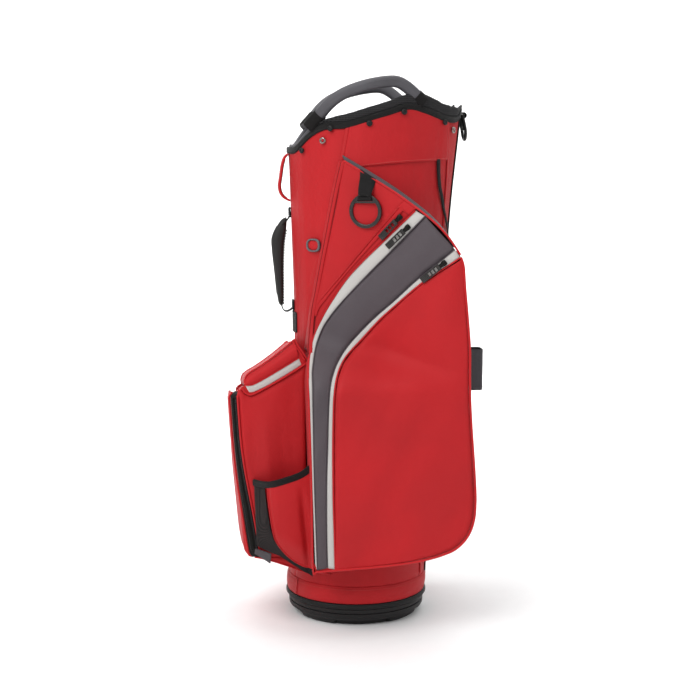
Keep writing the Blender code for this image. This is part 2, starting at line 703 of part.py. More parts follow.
# ---- rear ring -------------------------------------------------------------------------------
def rear_ring():
    pivot = Vector((0.1805, 0.0, 0.8480))
    points = []
    half, height = 0.016, 0.040
    points += [(0.0, -half, 0.0), (0.0, half, 0.0)]
    for k in range(9):
        angle = math.pi * k / 8
        points.append((0.0055 + 0.0015 * math.sin(angle), half * math.cos(angle),
                       -(height - half) - half * math.sin(angle)))
    ring = tube("rear_d_ring", points, 0.0030, "black_plastic", cyclic=True)
    ring.matrix_world = Matrix.Translation(pivot)
    box("strap_tab", (0.0016, 0.026, 0.024), "black_fabric", Matrix.Identity(4), (0.1761, 0, 0.8350))


clear_scene()
parts = collection(PARTS)
cutters = collection("cutters")
base()
body()
collar()
divider()
body_cutter = body_envelope()
side_pocket("side_pocket_near", -1, body_cutter)
side_pocket("side_pocket_far", 1, body_cutter)
ball_pocket()
accessory_pocket()
bottle_pocket()
trunk_handle()
front_lift_loop()
small_fittings()
towel_ring()
zips()
rear_ring()
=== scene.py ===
"""The looks of the golf cart bag: its sewn panels, pockets, collar, hardware and materials.

In metres, +Z up, -X the front of the bag, -Y the near side with the towel ring.  A turn is an angle round
the bag from its front: 0 front, 90 near side, 180 spine, 270 far side.
"""
import json
import math

import bmesh
import bpy
import numpy as np
from mathutils import Matrix, Vector, noise


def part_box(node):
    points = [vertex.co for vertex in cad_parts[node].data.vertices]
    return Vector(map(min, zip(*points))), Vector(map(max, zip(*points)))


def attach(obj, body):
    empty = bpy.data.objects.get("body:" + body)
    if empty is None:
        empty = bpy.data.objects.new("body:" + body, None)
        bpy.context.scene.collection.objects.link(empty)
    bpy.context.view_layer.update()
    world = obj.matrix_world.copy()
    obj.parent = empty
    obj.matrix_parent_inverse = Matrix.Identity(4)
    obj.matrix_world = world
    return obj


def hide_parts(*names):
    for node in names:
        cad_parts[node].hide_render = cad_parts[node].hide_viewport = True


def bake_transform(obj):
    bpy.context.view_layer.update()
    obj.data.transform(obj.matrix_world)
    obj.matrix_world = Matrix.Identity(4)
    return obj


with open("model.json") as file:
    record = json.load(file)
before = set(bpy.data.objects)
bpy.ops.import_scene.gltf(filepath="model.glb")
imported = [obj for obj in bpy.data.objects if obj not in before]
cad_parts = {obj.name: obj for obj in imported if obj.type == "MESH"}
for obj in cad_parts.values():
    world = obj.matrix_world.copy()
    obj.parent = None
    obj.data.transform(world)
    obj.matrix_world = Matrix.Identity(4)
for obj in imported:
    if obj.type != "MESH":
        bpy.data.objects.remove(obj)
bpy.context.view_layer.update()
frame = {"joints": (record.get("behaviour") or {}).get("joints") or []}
JOINTS = {joint["name"]: joint for joint in frame["joints"]}

# ---- shape of the bag, as in the frame -------------------------------------------------------
BODY = [(0.045, -0.118, 0.118, 0.118), (0.25, -0.108, 0.128, 0.112), (0.50, -0.1045, 0.1445, 0.112),
        (0.70, -0.1105, 0.159, 0.118), (0.83, -0.1155, 0.1725, 0.122), (0.90, -0.118, 0.179, 0.124)]
RIM = [(-22, 0.786), (0, 0.785), (22, 0.786), (41, 0.811), (52, 0.821), (68, 0.8235), (93, 0.842),
       (108, 0.852), (136, 0.836), (156, 0.835), (168, 0.846), (180, 0.852), (192, 0.846)]
PAD_TOP = [(25, 0.806), (41, 0.8255), (52, 0.8385), (68, 0.8470), (93, 0.8660), (108, 0.8785), (117, 0.8790),
           (125, 0.8725), (136, 0.8645), (150, 0.8600), (165, 0.8560), (180, 0.8500), (195, 0.8560)]
FRONT_SEAM = [(0.05, 22.0), (0.30, 26.0), (0.47, 32.0), (0.587, 45.0), (0.677, 54.5), (0.765, 63.3),
              (0.87, 71.0)]
SPINE_SEAM = [(0.05, 150.0), (0.65, 151.0), (0.78, 147.0), (0.87, 138.0)]
HEM_TOP = 0.068
POCKET_FACE = 0.182
SLANT_ORIGIN = (-0.0813, 0.4687)
SLANT_START = 0.065
SLANT_X = 0.5166
SLANT_Z = 0.0796
FRONT_HALF_WIDTH = 0.108
THREAD_RADIUS = 0.00026
NEAR, FAR = -1, 1
SIDES = ((NEAR, "near"), (FAR, "far"))
HALVES = (("near", lambda turn: turn), ("far", lambda turn: 360 - turn))


def spline(stations, at):
    """Smooth values through stations of (position, value, ...)."""
    last = len(stations) - 1
    index = 0
    while index < last - 1 and at > stations[index + 1][0]:
        index += 1
    low, high = stations[index], stations[index + 1]
    before = stations[max(index - 1, 0)]
    after = stations[min(index + 2, last)]
    step = high[0] - low[0]
    t = min(max((at - low[0]) / step, 0.0), 1.0)
    values = []
    for k in range(1, len(low)):
        slope_low = (high[k] - before[k]) / (high[0] - before[0]) * step
        slope_high = (after[k] - low[k]) / (after[0] - low[0]) * step
        values.append((2 * t**3 - 3 * t**2 + 1) * low[k] + (t**3 - 2 * t**2 + t) * slope_low
                      + (3 * t**2 - 2 * t**3) * high[k] + (t**3 - t**2) * slope_high)
    return values


def section(z):
    front, rear, depth = spline(BODY, z)
    return (front + rear) / 2, (rear - front) / 2, depth


def on_body(turn, z, proud=0.0):
    centre, half_width, depth = section(z)
    angle = math.radians(turn)
    return Vector((centre - (half_width + proud) * math.cos(angle), -(depth + proud) * math.sin(angle), z))


def body_normal(turn, z):
    _, half_width, depth = section(z)
    angle = math.radians(turn)
    return Vector((-math.cos(angle) / half_width, -math.sin(angle) / depth, 0)).normalized()


def body_depth(x, z):
    centre, half_width, depth = section(z)
    share = min(abs(x - centre) / half_width, 1.0)
    return depth * math.sqrt(1 - share * share)


def fold(turn):
    """Turn folded on to the near half, 0 to 180."""
    return abs((turn + 180.0) % 360.0 - 180.0)


def rim(turn):
    return spline(RIM, fold(turn))[0]


def pad_top(turn):
    return spline(PAD_TOP, fold(turn))[0]


def front_seam(z):
    return spline(FRONT_SEAM, z)[0]


def spine_seam(z):
    return spline(SPINE_SEAM, z)[0]


def smooth_max(a, b, width):
    overlap = max(width - abs(a - b), 0.0) / width
    return max(a, b) + overlap * overlap * width / 4


def ease(t):
    t = min(max(t, 0.0), 1.0)
    return t * t * (3 - 2 * t)


def slant_depth(x, z):
    return SLANT_START + SLANT_X * (x - SLANT_ORIGIN[0]) + SLANT_Z * (z - SLANT_ORIGIN[1])


def pocket_depth(x, z):
    """Distance of a side pocket's front from the bag's middle plane."""
    hug = body_depth(x, z) + 0.005
    swell = 0.060 + (POCKET_FACE - 0.060) * ease((0.515 - z) / 0.115)
    rise = smooth_max(smooth_max(hug, slant_depth(x, z), 0.014), swell, 0.030)
    return -smooth_max(-rise, -(POCKET_FACE + 0.001), 0.010)


def catmull(points, count):
    """Points evenly spaced along a smooth curve through the given ones, of any dimension."""
    p = np.array(points, float)
    ends = np.vstack([2 * p[0] - p[1], p, 2 * p[-1] - p[-2]])
    fine = []
    for k in range(1, len(ends) - 2):
        a, b, c, d = ends[k - 1], ends[k], ends[k + 1], ends[k + 2]
        for t in np.linspace(0, 1, 24, endpoint=False):
            fine.append(0.5 * (2 * b + (c - a) * t + (2 * a - 5 * b + 4 * c - d) * t**2
                               + (3 * b - a - 3 * c + d) * t**3))
    fine.append(ends[-2])
    fine = np.array(fine)
    length = np.concatenate([[0], np.cumsum(np.linalg.norm(np.diff(fine, axis=0), axis=1))])
    at = np.linspace(0, length[-1], count)
    return np.stack([np.interp(at, length, fine[:, k]) for k in range(fine.shape[1])], axis=1)


def path_length(points):
    return float(np.linalg.norm(np.diff(np.array(points, float), axis=0), axis=1).sum())


# ---- materials -------------------------------------------------------------------------------
class Shader:
    """Small helper round a material's node tree."""

    def __init__(self, name):
        self.material = bpy.data.materials.new(name)
        self.material.use_nodes = True
        self.tree = self.material.node_tree
        self.bsdf = self.tree.nodes["Principled BSDF"]
        self.coords = self.add("ShaderNodeTexCoord").outputs["Object"]

    def add(self, kind, **settings):
        node = self.tree.nodes.new(kind)
        for key, value in settings.items():
            setattr(node, key, value)
        return node

    def link(self, output, target):
        self.tree.links.new(output, target)

    def put(self, socket, value):
        """Set a socket to a number or a colour, or link an output to it."""
        if isinstance(value, (int, float)):
            socket.default_value = value
        elif isinstance(value, tuple):
            socket.default_value = (*value, 1.0)
        else:
            self.link(value, socket)

    def axes(self):
        split = self.add("ShaderNodeSeparateXYZ")
        self.link(self.coords, split.inputs[0])
        return split.outputs

    def rubbed(self, low, high, most):
        """Share of wear on a mesh's outer edges."""
        return self.ramp(self.add("ShaderNodeNewGeometry").outputs["Pointiness"], low, high, 0.0, most)

    def maths(self, operation, a, b=0.0, c=0.0):
        node = self.add("ShaderNodeMath", operation=operation)
        for socket, value in zip(node.inputs, (a, b, c)):
            self.put(socket, value)
        return node.outputs[0]

    def noise(self, scale, detail=3.0, distortion=0.0, roughness=0.55, coords=None):
        node = self.add("ShaderNodeTexNoise")
        node.inputs["Scale"].default_value = scale
        node.inputs["Detail"].default_value = detail
        node.inputs["Roughness"].default_value = roughness
        node.inputs["Distortion"].default_value = distortion
        self.link(coords or self.coords, node.inputs["Vector"])
        return node.outputs["Fac"]

    def ramp(self, factor, low, high, out_low=0.0, out_high=1.0):
        node = self.add("ShaderNodeMapRange")
        self.link(factor, node.inputs["Value"])
        for key, value in (("From Min", low), ("From Max", high), ("To Min", out_low), ("To Max", out_high)):
            node.inputs[key].default_value = value
        return node.outputs["Result"]

    def mix(self, factor, one, two):
        node = self.add("ShaderNodeMix", data_type="RGBA")
        for key, value in (("Factor", factor), ("A", one), ("B", two)):
            self.put(node.inputs[key], value)
        return node.outputs["Result"]

    def bump(self, height, distance, strength=1.0, normal=None):
        node = self.add("ShaderNodeBump")
        node.inputs["Distance"].default_value = distance
        node.inputs["Strength"].default_value = strength
        self.link(height, node.inputs["Height"])
        if normal:
            self.link(normal, node.inputs["Normal"])
        return node.outputs["Normal"]

    def finish(self, colour, roughness, normal=None, **constants):
        self.put(self.bsdf.inputs["Base Color"], colour)
        self.put(self.bsdf.inputs["Roughness"], roughness)
        if normal:
            self.link(normal, self.bsdf.inputs["Normal"])
        for key, value in constants.items():
            self.bsdf.inputs[key.replace("_", " ")].default_value = value
        return self.material


def scaled(colour, factor):
    return tuple(min(channel * factor, 1.0) for channel in colour)


def weave_heights(s, period):
    """Plain weave on faces of any heading: threads along the level direction and up."""
    axes = s.axes()
    level = s.maths("ADD", axes["X"], axes["Y"])
    rate = 2 * math.pi / period
    warp = s.maths("SINE", s.maths("MULTIPLY", level, rate))
    weft = s.maths("SINE", s.maths("MULTIPLY", axes["Z"], rate))
    return s.maths("MULTIPLY", warp, weft)


def woven(name, colour, period=0.0012, roughness=0.58, sheen=0.04, depth=0.00010, crease=0.0012, spec=0.22,
          mottle=0.08):
    """Coated woven cloth: thread relief, soft creases, slow colour drift and faint rubbing on the ridges."""
    s = Shader(name)
    weave = weave_heights(s, period)
    drift = s.noise(7.0, 4.0, 0.4)
    yarn = s.noise(900.0, 2.0)
    creases = s.noise(26.0, 3.0, 1.2)
    base = s.mix(s.ramp(drift, 0.3, 0.7), scaled(colour, 1 - mottle), scaled(colour, 1 + mottle))
    base = s.mix(s.ramp(yarn, 0.35, 0.65, 0.0, 0.22), base, scaled(colour, 0.78))
    thread = s.mix(s.ramp(weave, -1.0, 1.0, 0.0, 0.16), base, scaled(colour, 1.25))
    worn = s.rubbed(0.52, 0.62, 0.25)
    base = s.mix(worn, thread, scaled(colour, 1.45))
    rough = s.ramp(drift, 0.25, 0.75, roughness - 0.06, roughness + 0.07)
    normal = s.bump(creases, crease, 0.55)
    normal = s.bump(weave, depth, 0.8, normal)
    return s.finish(base, rough, normal, Sheen_Weight=sheen, Sheen_Roughness=0.45, Specular_IOR_Level=spec)


def webbing(name, colour, period=0.0016, roughness=0.75):
    """Heavy ribbed strap or grosgrain."""
    s = Shader(name)
    axes = s.axes()
    slope = s.maths("ADD", axes["Z"], s.maths("MULTIPLY", axes["X"], 0.6))
    rib = s.maths("SINE", s.maths("MULTIPLY", slope, 2 * math.pi / period))
    cross = s.maths("SINE", s.maths("MULTIPLY", s.maths("SUBTRACT", axes["X"], axes["Y"]),
                                    2 * math.pi / (period * 1.4)))
    height = s.maths("ADD", rib, s.maths("MULTIPLY", cross, 0.5))
    fuzz = s.noise(700.0, 3.0)
    base = s.mix(s.ramp(height, -1.5, 1.5), scaled(colour, 0.6), scaled(colour, 1.9))
    base = s.mix(s.ramp(fuzz, 0.35, 0.7, 0.0, 0.5), base, scaled(colour, 1.4))
    normal = s.bump(height, 0.00022, 0.9)
    normal = s.bump(fuzz, 0.0001, 0.6, normal)
    return s.finish(base, roughness, normal, Sheen_Weight=0.05, Sheen_Roughness=0.5, Specular_IOR_Level=0.2)


def spacer_mesh(name, colour, cell=0.0034):
    """Open knitted mesh over foam: round eyelets in rows."""
    s = Shader(name)
    axes = s.axes()
    level = s.maths("ADD", axes["X"], s.maths("MULTIPLY", axes["Y"], 0.9))
    rate = 2 * math.pi / cell
    one = s.maths("COSINE", s.maths("MULTIPLY", s.maths("ADD", level, axes["Z"]), rate * 0.7))
    two = s.maths("COSINE", s.maths("MULTIPLY", s.maths("SUBTRACT", level, axes["Z"]), rate * 0.7))
    holes = s.ramp(s.maths("MULTIPLY", one, two), 0.15, 0.6)
    base = s.mix(holes, scaled(colour, 3.6), scaled(colour, 0.3))
    fuzz = s.noise(800.0, 2.0)
    base = s.mix(s.ramp(fuzz, 0.4, 0.7, 0.0, 0.3), base, scaled(colour, 3.0))
    normal = s.bump(s.maths("SUBTRACT", 1.0, holes), 0.0006, 1.0)
    return s.finish(base, 0.85, normal, Sheen_Weight=0.04, Specular_IOR_Level=0.2)


def moulded(name, colour, roughness=0.45, grain=0.00005, spec=0.45, wear=0.35):
    """Injection moulded plastic or rubber with a fine spark texture and rubbed edges."""
    s = Shader(name)
    speck = s.noise(1500.0, 2.0)
    drift = s.noise(18.0, 3.0)
    base = s.mix(s.ramp(drift, 0.3, 0.7), scaled(colour, 0.88), scaled(colour, 1.12))
    worn = s.rubbed(0.53, 0.64, wear)
    base = s.mix(worn, base, scaled(colour, 2.0))
    rough = s.ramp(drift, 0.25, 0.75, roughness - 0.07, roughness + 0.08)
    return s.finish(base, rough, s.bump(speck, grain, 0.7), Specular_IOR_Level=spec)


def metal(name, colour, roughness=0.3, scratch=0.00003):
    s = Shader(name)
    drift = s.noise(60.0, 3.0)
    stretch = s.add("ShaderNodeMapping")
    stretch.inputs["Scale"].default_value = (1.0, 1.0, 14.0)
    s.link(s.coords, stretch.inputs["Vector"])
    lines = s.noise(420.0, 3.0, coords=stretch.outputs["Vector"])
    base = s.mix(s.ramp(drift, 0.3, 0.7), scaled(colour, 0.8), scaled(colour, 1.2))
    worn = s.rubbed(0.52, 0.6, 0.6)
    base = s.mix(worn, base, scaled(colour, 2.2))
    rough = s.ramp(lines, 0.3, 0.7, roughness - 0.08, roughness + 0.12)
    return s.finish(base, rough, s.bump(lines, scratch, 0.5), Metallic=1.0)


def hook_tape(name, colour):
    s = Shader(name)
    hooks = s.add("ShaderNodeTexVoronoi")
    hooks.inputs["Scale"].default_value = 1100.0
    s.link(s.coords, hooks.inputs["Vector"])
    base = s.mix(hooks.outputs["Distance"], scaled(colour, 2.5), scaled(colour, 0.4))
    return s.finish(base, 0.9, s.bump(hooks.outputs["Distance"], 0.0005, 1.0), Sheen_Weight=0.10,
                    Specular_IOR_Level=0.2)


RED = (0.430, 0.0085, 0.0120)
MATERIALS = {
    "red": woven("red_nylon_cloth", RED),
    # A 3% darker copy of the red cloth: painted shade, used on the side panels, bands and other faces that
    # lie in shade.
    "red_shaded": woven("red_nylon_painted_shade", scaled(RED, 0.97), crease=0.0016),
    "red_piping": woven("red_piping_cloth", scaled(RED, 1.08), period=0.0009, roughness=0.45, crease=0.0002),
    "dark": woven("dark_grey_cloth", (0.078, 0.064, 0.072), mottle=0.06),
    "light": woven("light_grey_cloth", (0.50, 0.485, 0.465), period=0.0010, mottle=0.04, crease=0.0004),
    "black": woven("black_cloth", (0.0060, 0.0052, 0.0052), roughness=0.75, sheen=0.03, spec=0.2),
    "lining": woven("lining_cloth", (0.020, 0.019, 0.0205), roughness=0.85, sheen=0.0, spec=0.2),
    "webbing": webbing("black_webbing", (0.0060, 0.0056, 0.0056)),
    "webbing_grey": webbing("grey_webbing", (0.062, 0.057, 0.062)),
    "webbing_red": webbing("red_webbing", scaled(RED, 0.9), 0.0013),
    "mesh": spacer_mesh("collar_spacer_mesh", (0.0070, 0.0068, 0.0072), 0.0042),
    "net": spacer_mesh("pocket_net", (0.0055, 0.0042, 0.0042), 0.0022),
    "binding": webbing("black_binding", (0.0055, 0.0050, 0.0050), 0.0011, 0.65),
    "handle": moulded("grey_soft_touch", (0.070, 0.067, 0.075), 0.5, spec=0.35),
    "foot": moulded("black_moulded", (0.0075, 0.0068, 0.0070), 0.5, spec=0.3),
    "rubber": moulded("black_rubber", (0.0045, 0.0045, 0.0045), 0.6, wear=0.15, spec=0.3),
    "grip": moulded("black_grip_rubber", (0.0120, 0.0115, 0.0110), 0.55, spec=0.35),
    "eyelet": moulded("grey_eyelet", (0.090, 0.084, 0.092), 0.5),
    "gunmetal": metal("gunmetal", (0.050, 0.048, 0.047), 0.34),
    "chrome": metal("chrome_snap", (0.20, 0.18, 0.17), 0.20),
    "dark_metal": metal("zip_metal", (0.016, 0.016, 0.015), 0.40),
    "hook": hook_tape("hook_and_loop", (0.012, 0.011, 0.011)),
    "thread_red": moulded("red_thread", (0.50, 0.07, 0.06), 0.6),
    # Dark red for thin lines that paint the shadow in seam grooves.
    "painted_seam_shadow": moulded("seam_shadow", scaled(RED, 0.28), 0.9),
    "thread_pale": moulded("pale_thread", (0.62, 0.20, 0.17), 0.6),
    "thread_black": moulded("black_thread", (0.02, 0.018, 0.018), 0.6),
    "thread_grey": moulded("grey_thread", (0.22, 0.21, 0.22), 0.6),
}


# ---- mesh helpers ----------------------------------------------------------------------------
def piece(name, verts, faces, look, body="root", smooth=True):
    """New mesh object with a material, riding on a body."""
    mesh = bpy.data.meshes.new(name)
    mesh.from_pydata([tuple(v) for v in verts], [], faces)
    mesh.materials.append(MATERIALS[look])
    if smooth:
        mesh.shade_smooth()
    made = bpy.data.objects.new(name, mesh)
    bpy.context.scene.collection.objects.link(made)
    if body:
        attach(made, body)
    return made


def grid_faces(rows, cols, wrap_rows=False, wrap_cols=False):
    faces = []
    for r in range(rows if wrap_rows else rows - 1):
        for c in range(cols if wrap_cols else cols - 1):
            r2, c2 = (r + 1) % rows, (c + 1) % cols
            faces.append((r * cols + c, r * cols + c2, r2 * cols + c2, r2 * cols + c))
    return faces


def end_caps(rings, sides):
    """Faces that close both ends of a bar made of rings of points."""
    return [tuple(range(sides)), tuple((rings - 1) * sides + k for k in reversed(range(sides)))]


def face_out(made, weld=0.0):
    """Turn a closed mesh's faces outwards, after welding its doubled points."""
    bm = bmesh.new()
    bm.from_mesh(made.data)
    if weld:
        bmesh.ops.remove_doubles(bm, verts=bm.verts, dist=weld)
    bmesh.ops.recalc_face_normals(bm, faces=bm.faces)
    bm.to_mesh(made.data)
    bm.free()


BAG_AXIS = np.array([0.01, 0.0, 0.0])


def sheet(name, grid, look, thickness=0.0012, body="root", facing=None, wrap=False):
    """Cloth from a grid of points, given thickness behind its face.

    The face looks along the facing vector, or away from the bag's axis (towards it for "in")."""
    grid = np.array(grid, float)
    rows, cols = grid.shape[:2]
    faces = grid_faces(rows, cols, wrap_cols=wrap)
    flat = grid.reshape(-1, 3)
    corners = flat[np.array(faces)]
    normals = np.cross(corners[:, 2] - corners[:, 0], corners[:, 3] - corners[:, 1])
    if facing is None or isinstance(facing, str):
        away = (corners.mean(axis=1) - BAG_AXIS) * np.array([1.0, 1.0, 0.0])
        score = (normals * away).sum() * (-1 if facing == "in" else 1)
    else:
        score = (normals @ np.array(facing, float)).sum()
    if score < 0:
        faces = [face[::-1] for face in faces]
    made = piece(name, flat, faces, look, body)
    if thickness:
        solid = made.modifiers.new("cloth", "SOLIDIFY")
        solid.thickness = thickness
        solid.offset = -1.0
    return made


def circle(radius, sides=10, squash=1.0):
    return [(radius * math.cos(2 * math.pi * k / sides), radius * squash * math.sin(2 * math.pi * k / sides))
            for k in range(sides)]


def rounded(width, height, corner, steps=3):
    """Rounded rectangle section, anticlockwise."""
    points = []
    for sx, sy, start in ((1, 1, 0), (-1, 1, 90), (-1, -1, 180), (1, -1, 270)):
        for k in range(steps + 1):
            angle = math.radians(start + 90 * k / steps)
            points.append((sx * (width / 2 - corner) + corner * math.cos(angle),
                           sy * (height / 2 - corner) + corner * math.sin(angle)))
    return points


def sweep(name, path, section_points, ups, look, cyclic=False, body="root", scale=None):
    """Solid bar along a path.  Section points are (sideways, up) for the path's up vectors."""
    path = np.array(path, float)
    count = len(path)
    ups = np.array(ups, float)
    if ups.ndim == 1:
        ups = np.tile(ups, (count, 1))
    if cyclic:
        tangent = np.roll(path, -1, axis=0) - np.roll(path, 1, axis=0)
    else:
        tangent = np.gradient(path, axis=0)
    tangent /= np.linalg.norm(tangent, axis=1, keepdims=True)
    side = np.cross(tangent, ups)
    side /= np.linalg.norm(side, axis=1, keepdims=True)
    up = np.cross(side, tangent)
    shape = np.array(section_points, float)
    scale = np.ones(count) if scale is None else np.array(scale, float)
    verts = (path[:, None, :] + shape[None, :, 0:1] * side[:, None, :] * scale[:, None, None]
             + shape[None, :, 1:2] * up[:, None, :] * scale[:, None, None])
    sides = len(shape)
    faces = grid_faces(count, sides, cyclic, True)
    if not cyclic:
        faces += end_caps(count, sides)
    made = piece(name, verts.reshape(-1, 3), faces, look, body)
    made.data.set_sharp_from_angle(angle=math.radians(50))
    face_out(made)
    return made


def stitches(name, path, ups, look, pitch=0.0036, length=0.0025, radius=0.00032, body="root"):
    """Row of separate thread loops lying on a path."""
    path = np.array(path, float)
    ups = np.array(ups, float)
    if ups.ndim == 1:
        ups = np.tile(ups, (len(path), 1))
    along = np.concatenate([[0], np.cumsum(np.linalg.norm(np.diff(path, axis=0), axis=1))])
    verts, faces = [], []
    for start in np.arange(pitch * 0.5, along[-1] - length, pitch):
        ends = [np.array([np.interp(at, along, path[:, k]) for k in range(3)]) for at in (start,
                                                                                          start + length)]
        up = np.array([np.interp(start, along, ups[:, k]) for k in range(3)])
        up /= np.linalg.norm(up)
        run = ends[1] - ends[0]
        run /= np.linalg.norm(run)
        side = np.cross(run, up) * radius
        middle = (ends[0] + ends[1]) / 2 + up * radius * 1.4
        base = len(verts)
        verts += [ends[0] - up * radius, middle + side, middle + up * radius * 0.4, middle - side,
                  middle - up * radius * 2.2, ends[1] - up * radius]
        for k in range(4):
            one, two = base + 1 + k, base + 1 + (k + 1) % 4
            faces += [(base, two, one), (base + 5, one, two)]
    return piece(name, verts, faces, look, body, smooth=False)


def point_grid(rows, cols, point):
    """Rows of points; point gets the shares down and across, each from 0 to 1."""
    return [[point(r / rows, c / cols) for c in range(cols + 1)] for r in range(rows + 1)]


def join(name, objects):
    """One object from several that ride on the same body; the first keeps its settings."""
    target = objects[0]
    verts, faces, materials, index = [], [], [], []
    for made in objects:
        base = len(verts)
        verts += [tuple(made.matrix_world @ v.co) for v in made.data.vertices]
        look = made.data.materials[0]
        if look not in materials:
            materials.append(look)
        for polygon in made.data.polygons:
            faces.append(tuple(base + k for k in polygon.vertices))
            index.append(materials.index(look))
    mesh = bpy.data.meshes.new(name)
    mesh.from_pydata(verts, [], faces)
    for look in materials:
        mesh.materials.append(look)
    mesh.polygons.foreach_set("material_index", index)
    mesh.shade_smooth()
    mesh.set_sharp_from_angle(angle=math.radians(40))
    target.data = mesh
    target.name = name
    for made in objects[1:]:
        bpy.data.objects.remove(made, do_unlink=True)
    return target


def steps(start, end, count):
    return [start + (end - start) * k / count for k in range(count + 1)]


def ruck(point, scale, seed=0.0):
    """Soft wrinkle height between about -1 and 1 at a point."""
    return noise.noise(Vector((point[0] * scale[0] + seed, point[1] * scale[1], point[2] * scale[2])))


# ---- body tube -------------------------------------------------------------------------------
def fold_lines(turn, z):
    """Soft upright folds and slight sags in the tube's cloth."""
    height = (z - HEM_TOP) / 0.75
    upright = noise.noise(Vector((turn * 0.075, z * 1.6, 3.7)))
    small = noise.noise(Vector((turn * 0.22, z * 5.0, 9.1)))
    return 0.0024 * upright * ease(height * 4) + 0.0008 * small


def tube_grid(from_turn, to_turn, low, high, cols, rows, proud, folds=1.0, edge=0.0):
    """Points on the body between two seams and two heights, all given as functions."""
    grid = []
    for level in range(rows + 1):
        line = []
        for k in range(cols + 1):
            share = k / cols
            z = low(90) + (high(90) - low(90)) * level / rows
            for _ in range(3):
                turn = from_turn(z) + (to_turn(z) - from_turn(z)) * share
                z = low(turn) + (high(turn) - low(turn)) * level / rows
            taper = ease(min(share, 1 - share) * 8) * ease(min(level, rows - level) / rows * 14)
            lift = proud + folds * taper * fold_lines(turn, z) - edge * (1 - ease(min(share, 1 - share) * 14))
            line.append(on_body(turn, z, lift))
        grid.append(line)
    return grid


def seam_ridge(name, turn_at, low, high, look, width=0.0062, height=0.0018, mirror=None):
    """Folded seam lying on the tube, with a stitch row on its face."""
    turns = [(mirror(turn_at(z)), z) for z in steps(low, high, 60)]
    path = [on_body(turn, z, 0.0008) for turn, z in turns]
    ups = [body_normal(turn, z) for turn, z in turns]
    sweep(name, path, rounded(width, height, height * 0.45), ups, look)
    raised = [p + u * height * 0.5 for p, u in zip(path, ups)]
    stitches(name + "_stitches", raised, ups, "thread_red", 0.0034, 0.0023, THREAD_RADIUS)


FLAP_EDGE = [(50.0, 0.7560), (63.3, 0.7580), (78.2, 0.7618), (101.5, 0.7681), (142.9, 0.7733),
             (160.0, 0.7745)]
RED_SPINE_EDGE = 165.0


def body_tube():
    rim_low = lambda turn: rim(turn) + 0.003
    hem = lambda turn: HEM_TOP - 0.004
    front = sheet("front_panel_cloth",
                  tube_grid(lambda z: -front_seam(z), front_seam, hem, rim_low, 60, 90, 0.0, edge=0.0006),
                  "red")
    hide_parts("front_panel")
    for word, mirror in HALVES:
        panel = sheet(f"side_panel_{word}_cloth",
                      tube_grid(lambda z: mirror(front_seam(z)), lambda z: mirror(spine_seam(z)), hem,
                                rim_low,
                                56, 90, 0.0, edge=0.0006), "red_shaded")
        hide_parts(f"side_panel_{word}")
        flap_low = lambda turn: spline(FLAP_EDGE, fold(turn))[0]
        sheet(f"upper_flap_{word}",
              tube_grid(lambda z: mirror(front_seam(z) + 1.4), lambda z: mirror(spine_seam(z) - 1.4),
                        flap_low,
                        rim_low, 56, 26, 0.0019, 0.7), "red", 0.0014)
        edge = [on_body(mirror(t), spline(FLAP_EDGE, t)[0] + 0.0028, 0.0022)
                for t in steps(65.0, 146.0, 60)]
        ups = [body_normal(mirror(t), 0.77) for t in steps(65.0, 146.0, 60)]
        stitches(f"flap_stitches_{word}", edge, ups, "thread_pale", 0.0036, 0.0022, 0.00028)
        seam_ridge(f"front_seam_fold_{word}", front_seam, 0.752, 0.828, "red_shaded", mirror=mirror)
        seam_ridge(f"rear_seam_fold_{word}", spine_seam, 0.075, 0.838, "red_piping", 0.0048, mirror=mirror)
        sheet(f"spine_side_{word}",
              tube_grid(lambda z: mirror(spine_seam(z)), lambda z: mirror(RED_SPINE_EDGE), hem, rim_low,
                        10, 80,
                        0.0, 0.4), "red_shaded")
        path = [on_body(mirror(RED_SPINE_EDGE), z, 0.0008) for z in steps(0.070, 0.840, 60)]
        sweep(f"spine_piping_{word}", path, circle(0.0019, 8), (1, 0, 0), "binding")
    spine = sheet("spine_panel_cloth",
                  tube_grid(lambda z: RED_SPINE_EDGE, lambda z: 360 - RED_SPINE_EDGE, hem, rim_low, 22,
                            80, 0.0006,
                            0.5), "black")
    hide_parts("spine_panel")
    lining = []
    for level in range(41):
        share = level / 40
        lining.append([on_body(t, 0.030 + (rim(t) - 0.030) * share, -0.0030) for t in steps(0, 354, 59)])
    sheet("inner_lining", lining, "lining", 0.0006, facing="in", wrap=True)


# ---- base ------------------------------------------------------------------------------------
def turned(name, profile, look, sides=96, squeeze=None):
    """Closed solid turned about the upright axis; squeeze changes a point's radius and height."""
    verts = []
    for side in range(sides):
        angle = 2 * math.pi * side / sides
        for r, z in profile:
            if squeeze:
                r, z = squeeze(angle, r, z)
            verts.append((r * math.cos(angle), r * math.sin(angle), z))
    made = piece(name, verts, grid_faces(sides, len(profile), True, True), look)
    face_out(made, weld=0.00001)
    made.data.set_sharp_from_angle(angle=math.radians(38))
    return made


FOOT_RIM_RADIUS = 0.1175
FOOT_HEIGHT = 0.030
NOTCH_HALF_WIDTH = 0.049
NOTCH_HEIGHT = 0.007


def foot_notch(angle, r, z):
    """Four shallow cuts in the foot's lower edge, one at each side."""
    turned_in = (angle + math.pi / 4) % (math.pi / 2) - math.pi / 4
    across = abs(r * math.tan(turned_in))
    if r > 0.100 and z < NOTCH_HEIGHT + 0.001 and across < NOTCH_HALF_WIDTH:
        return 0.1005, z
    return r, z


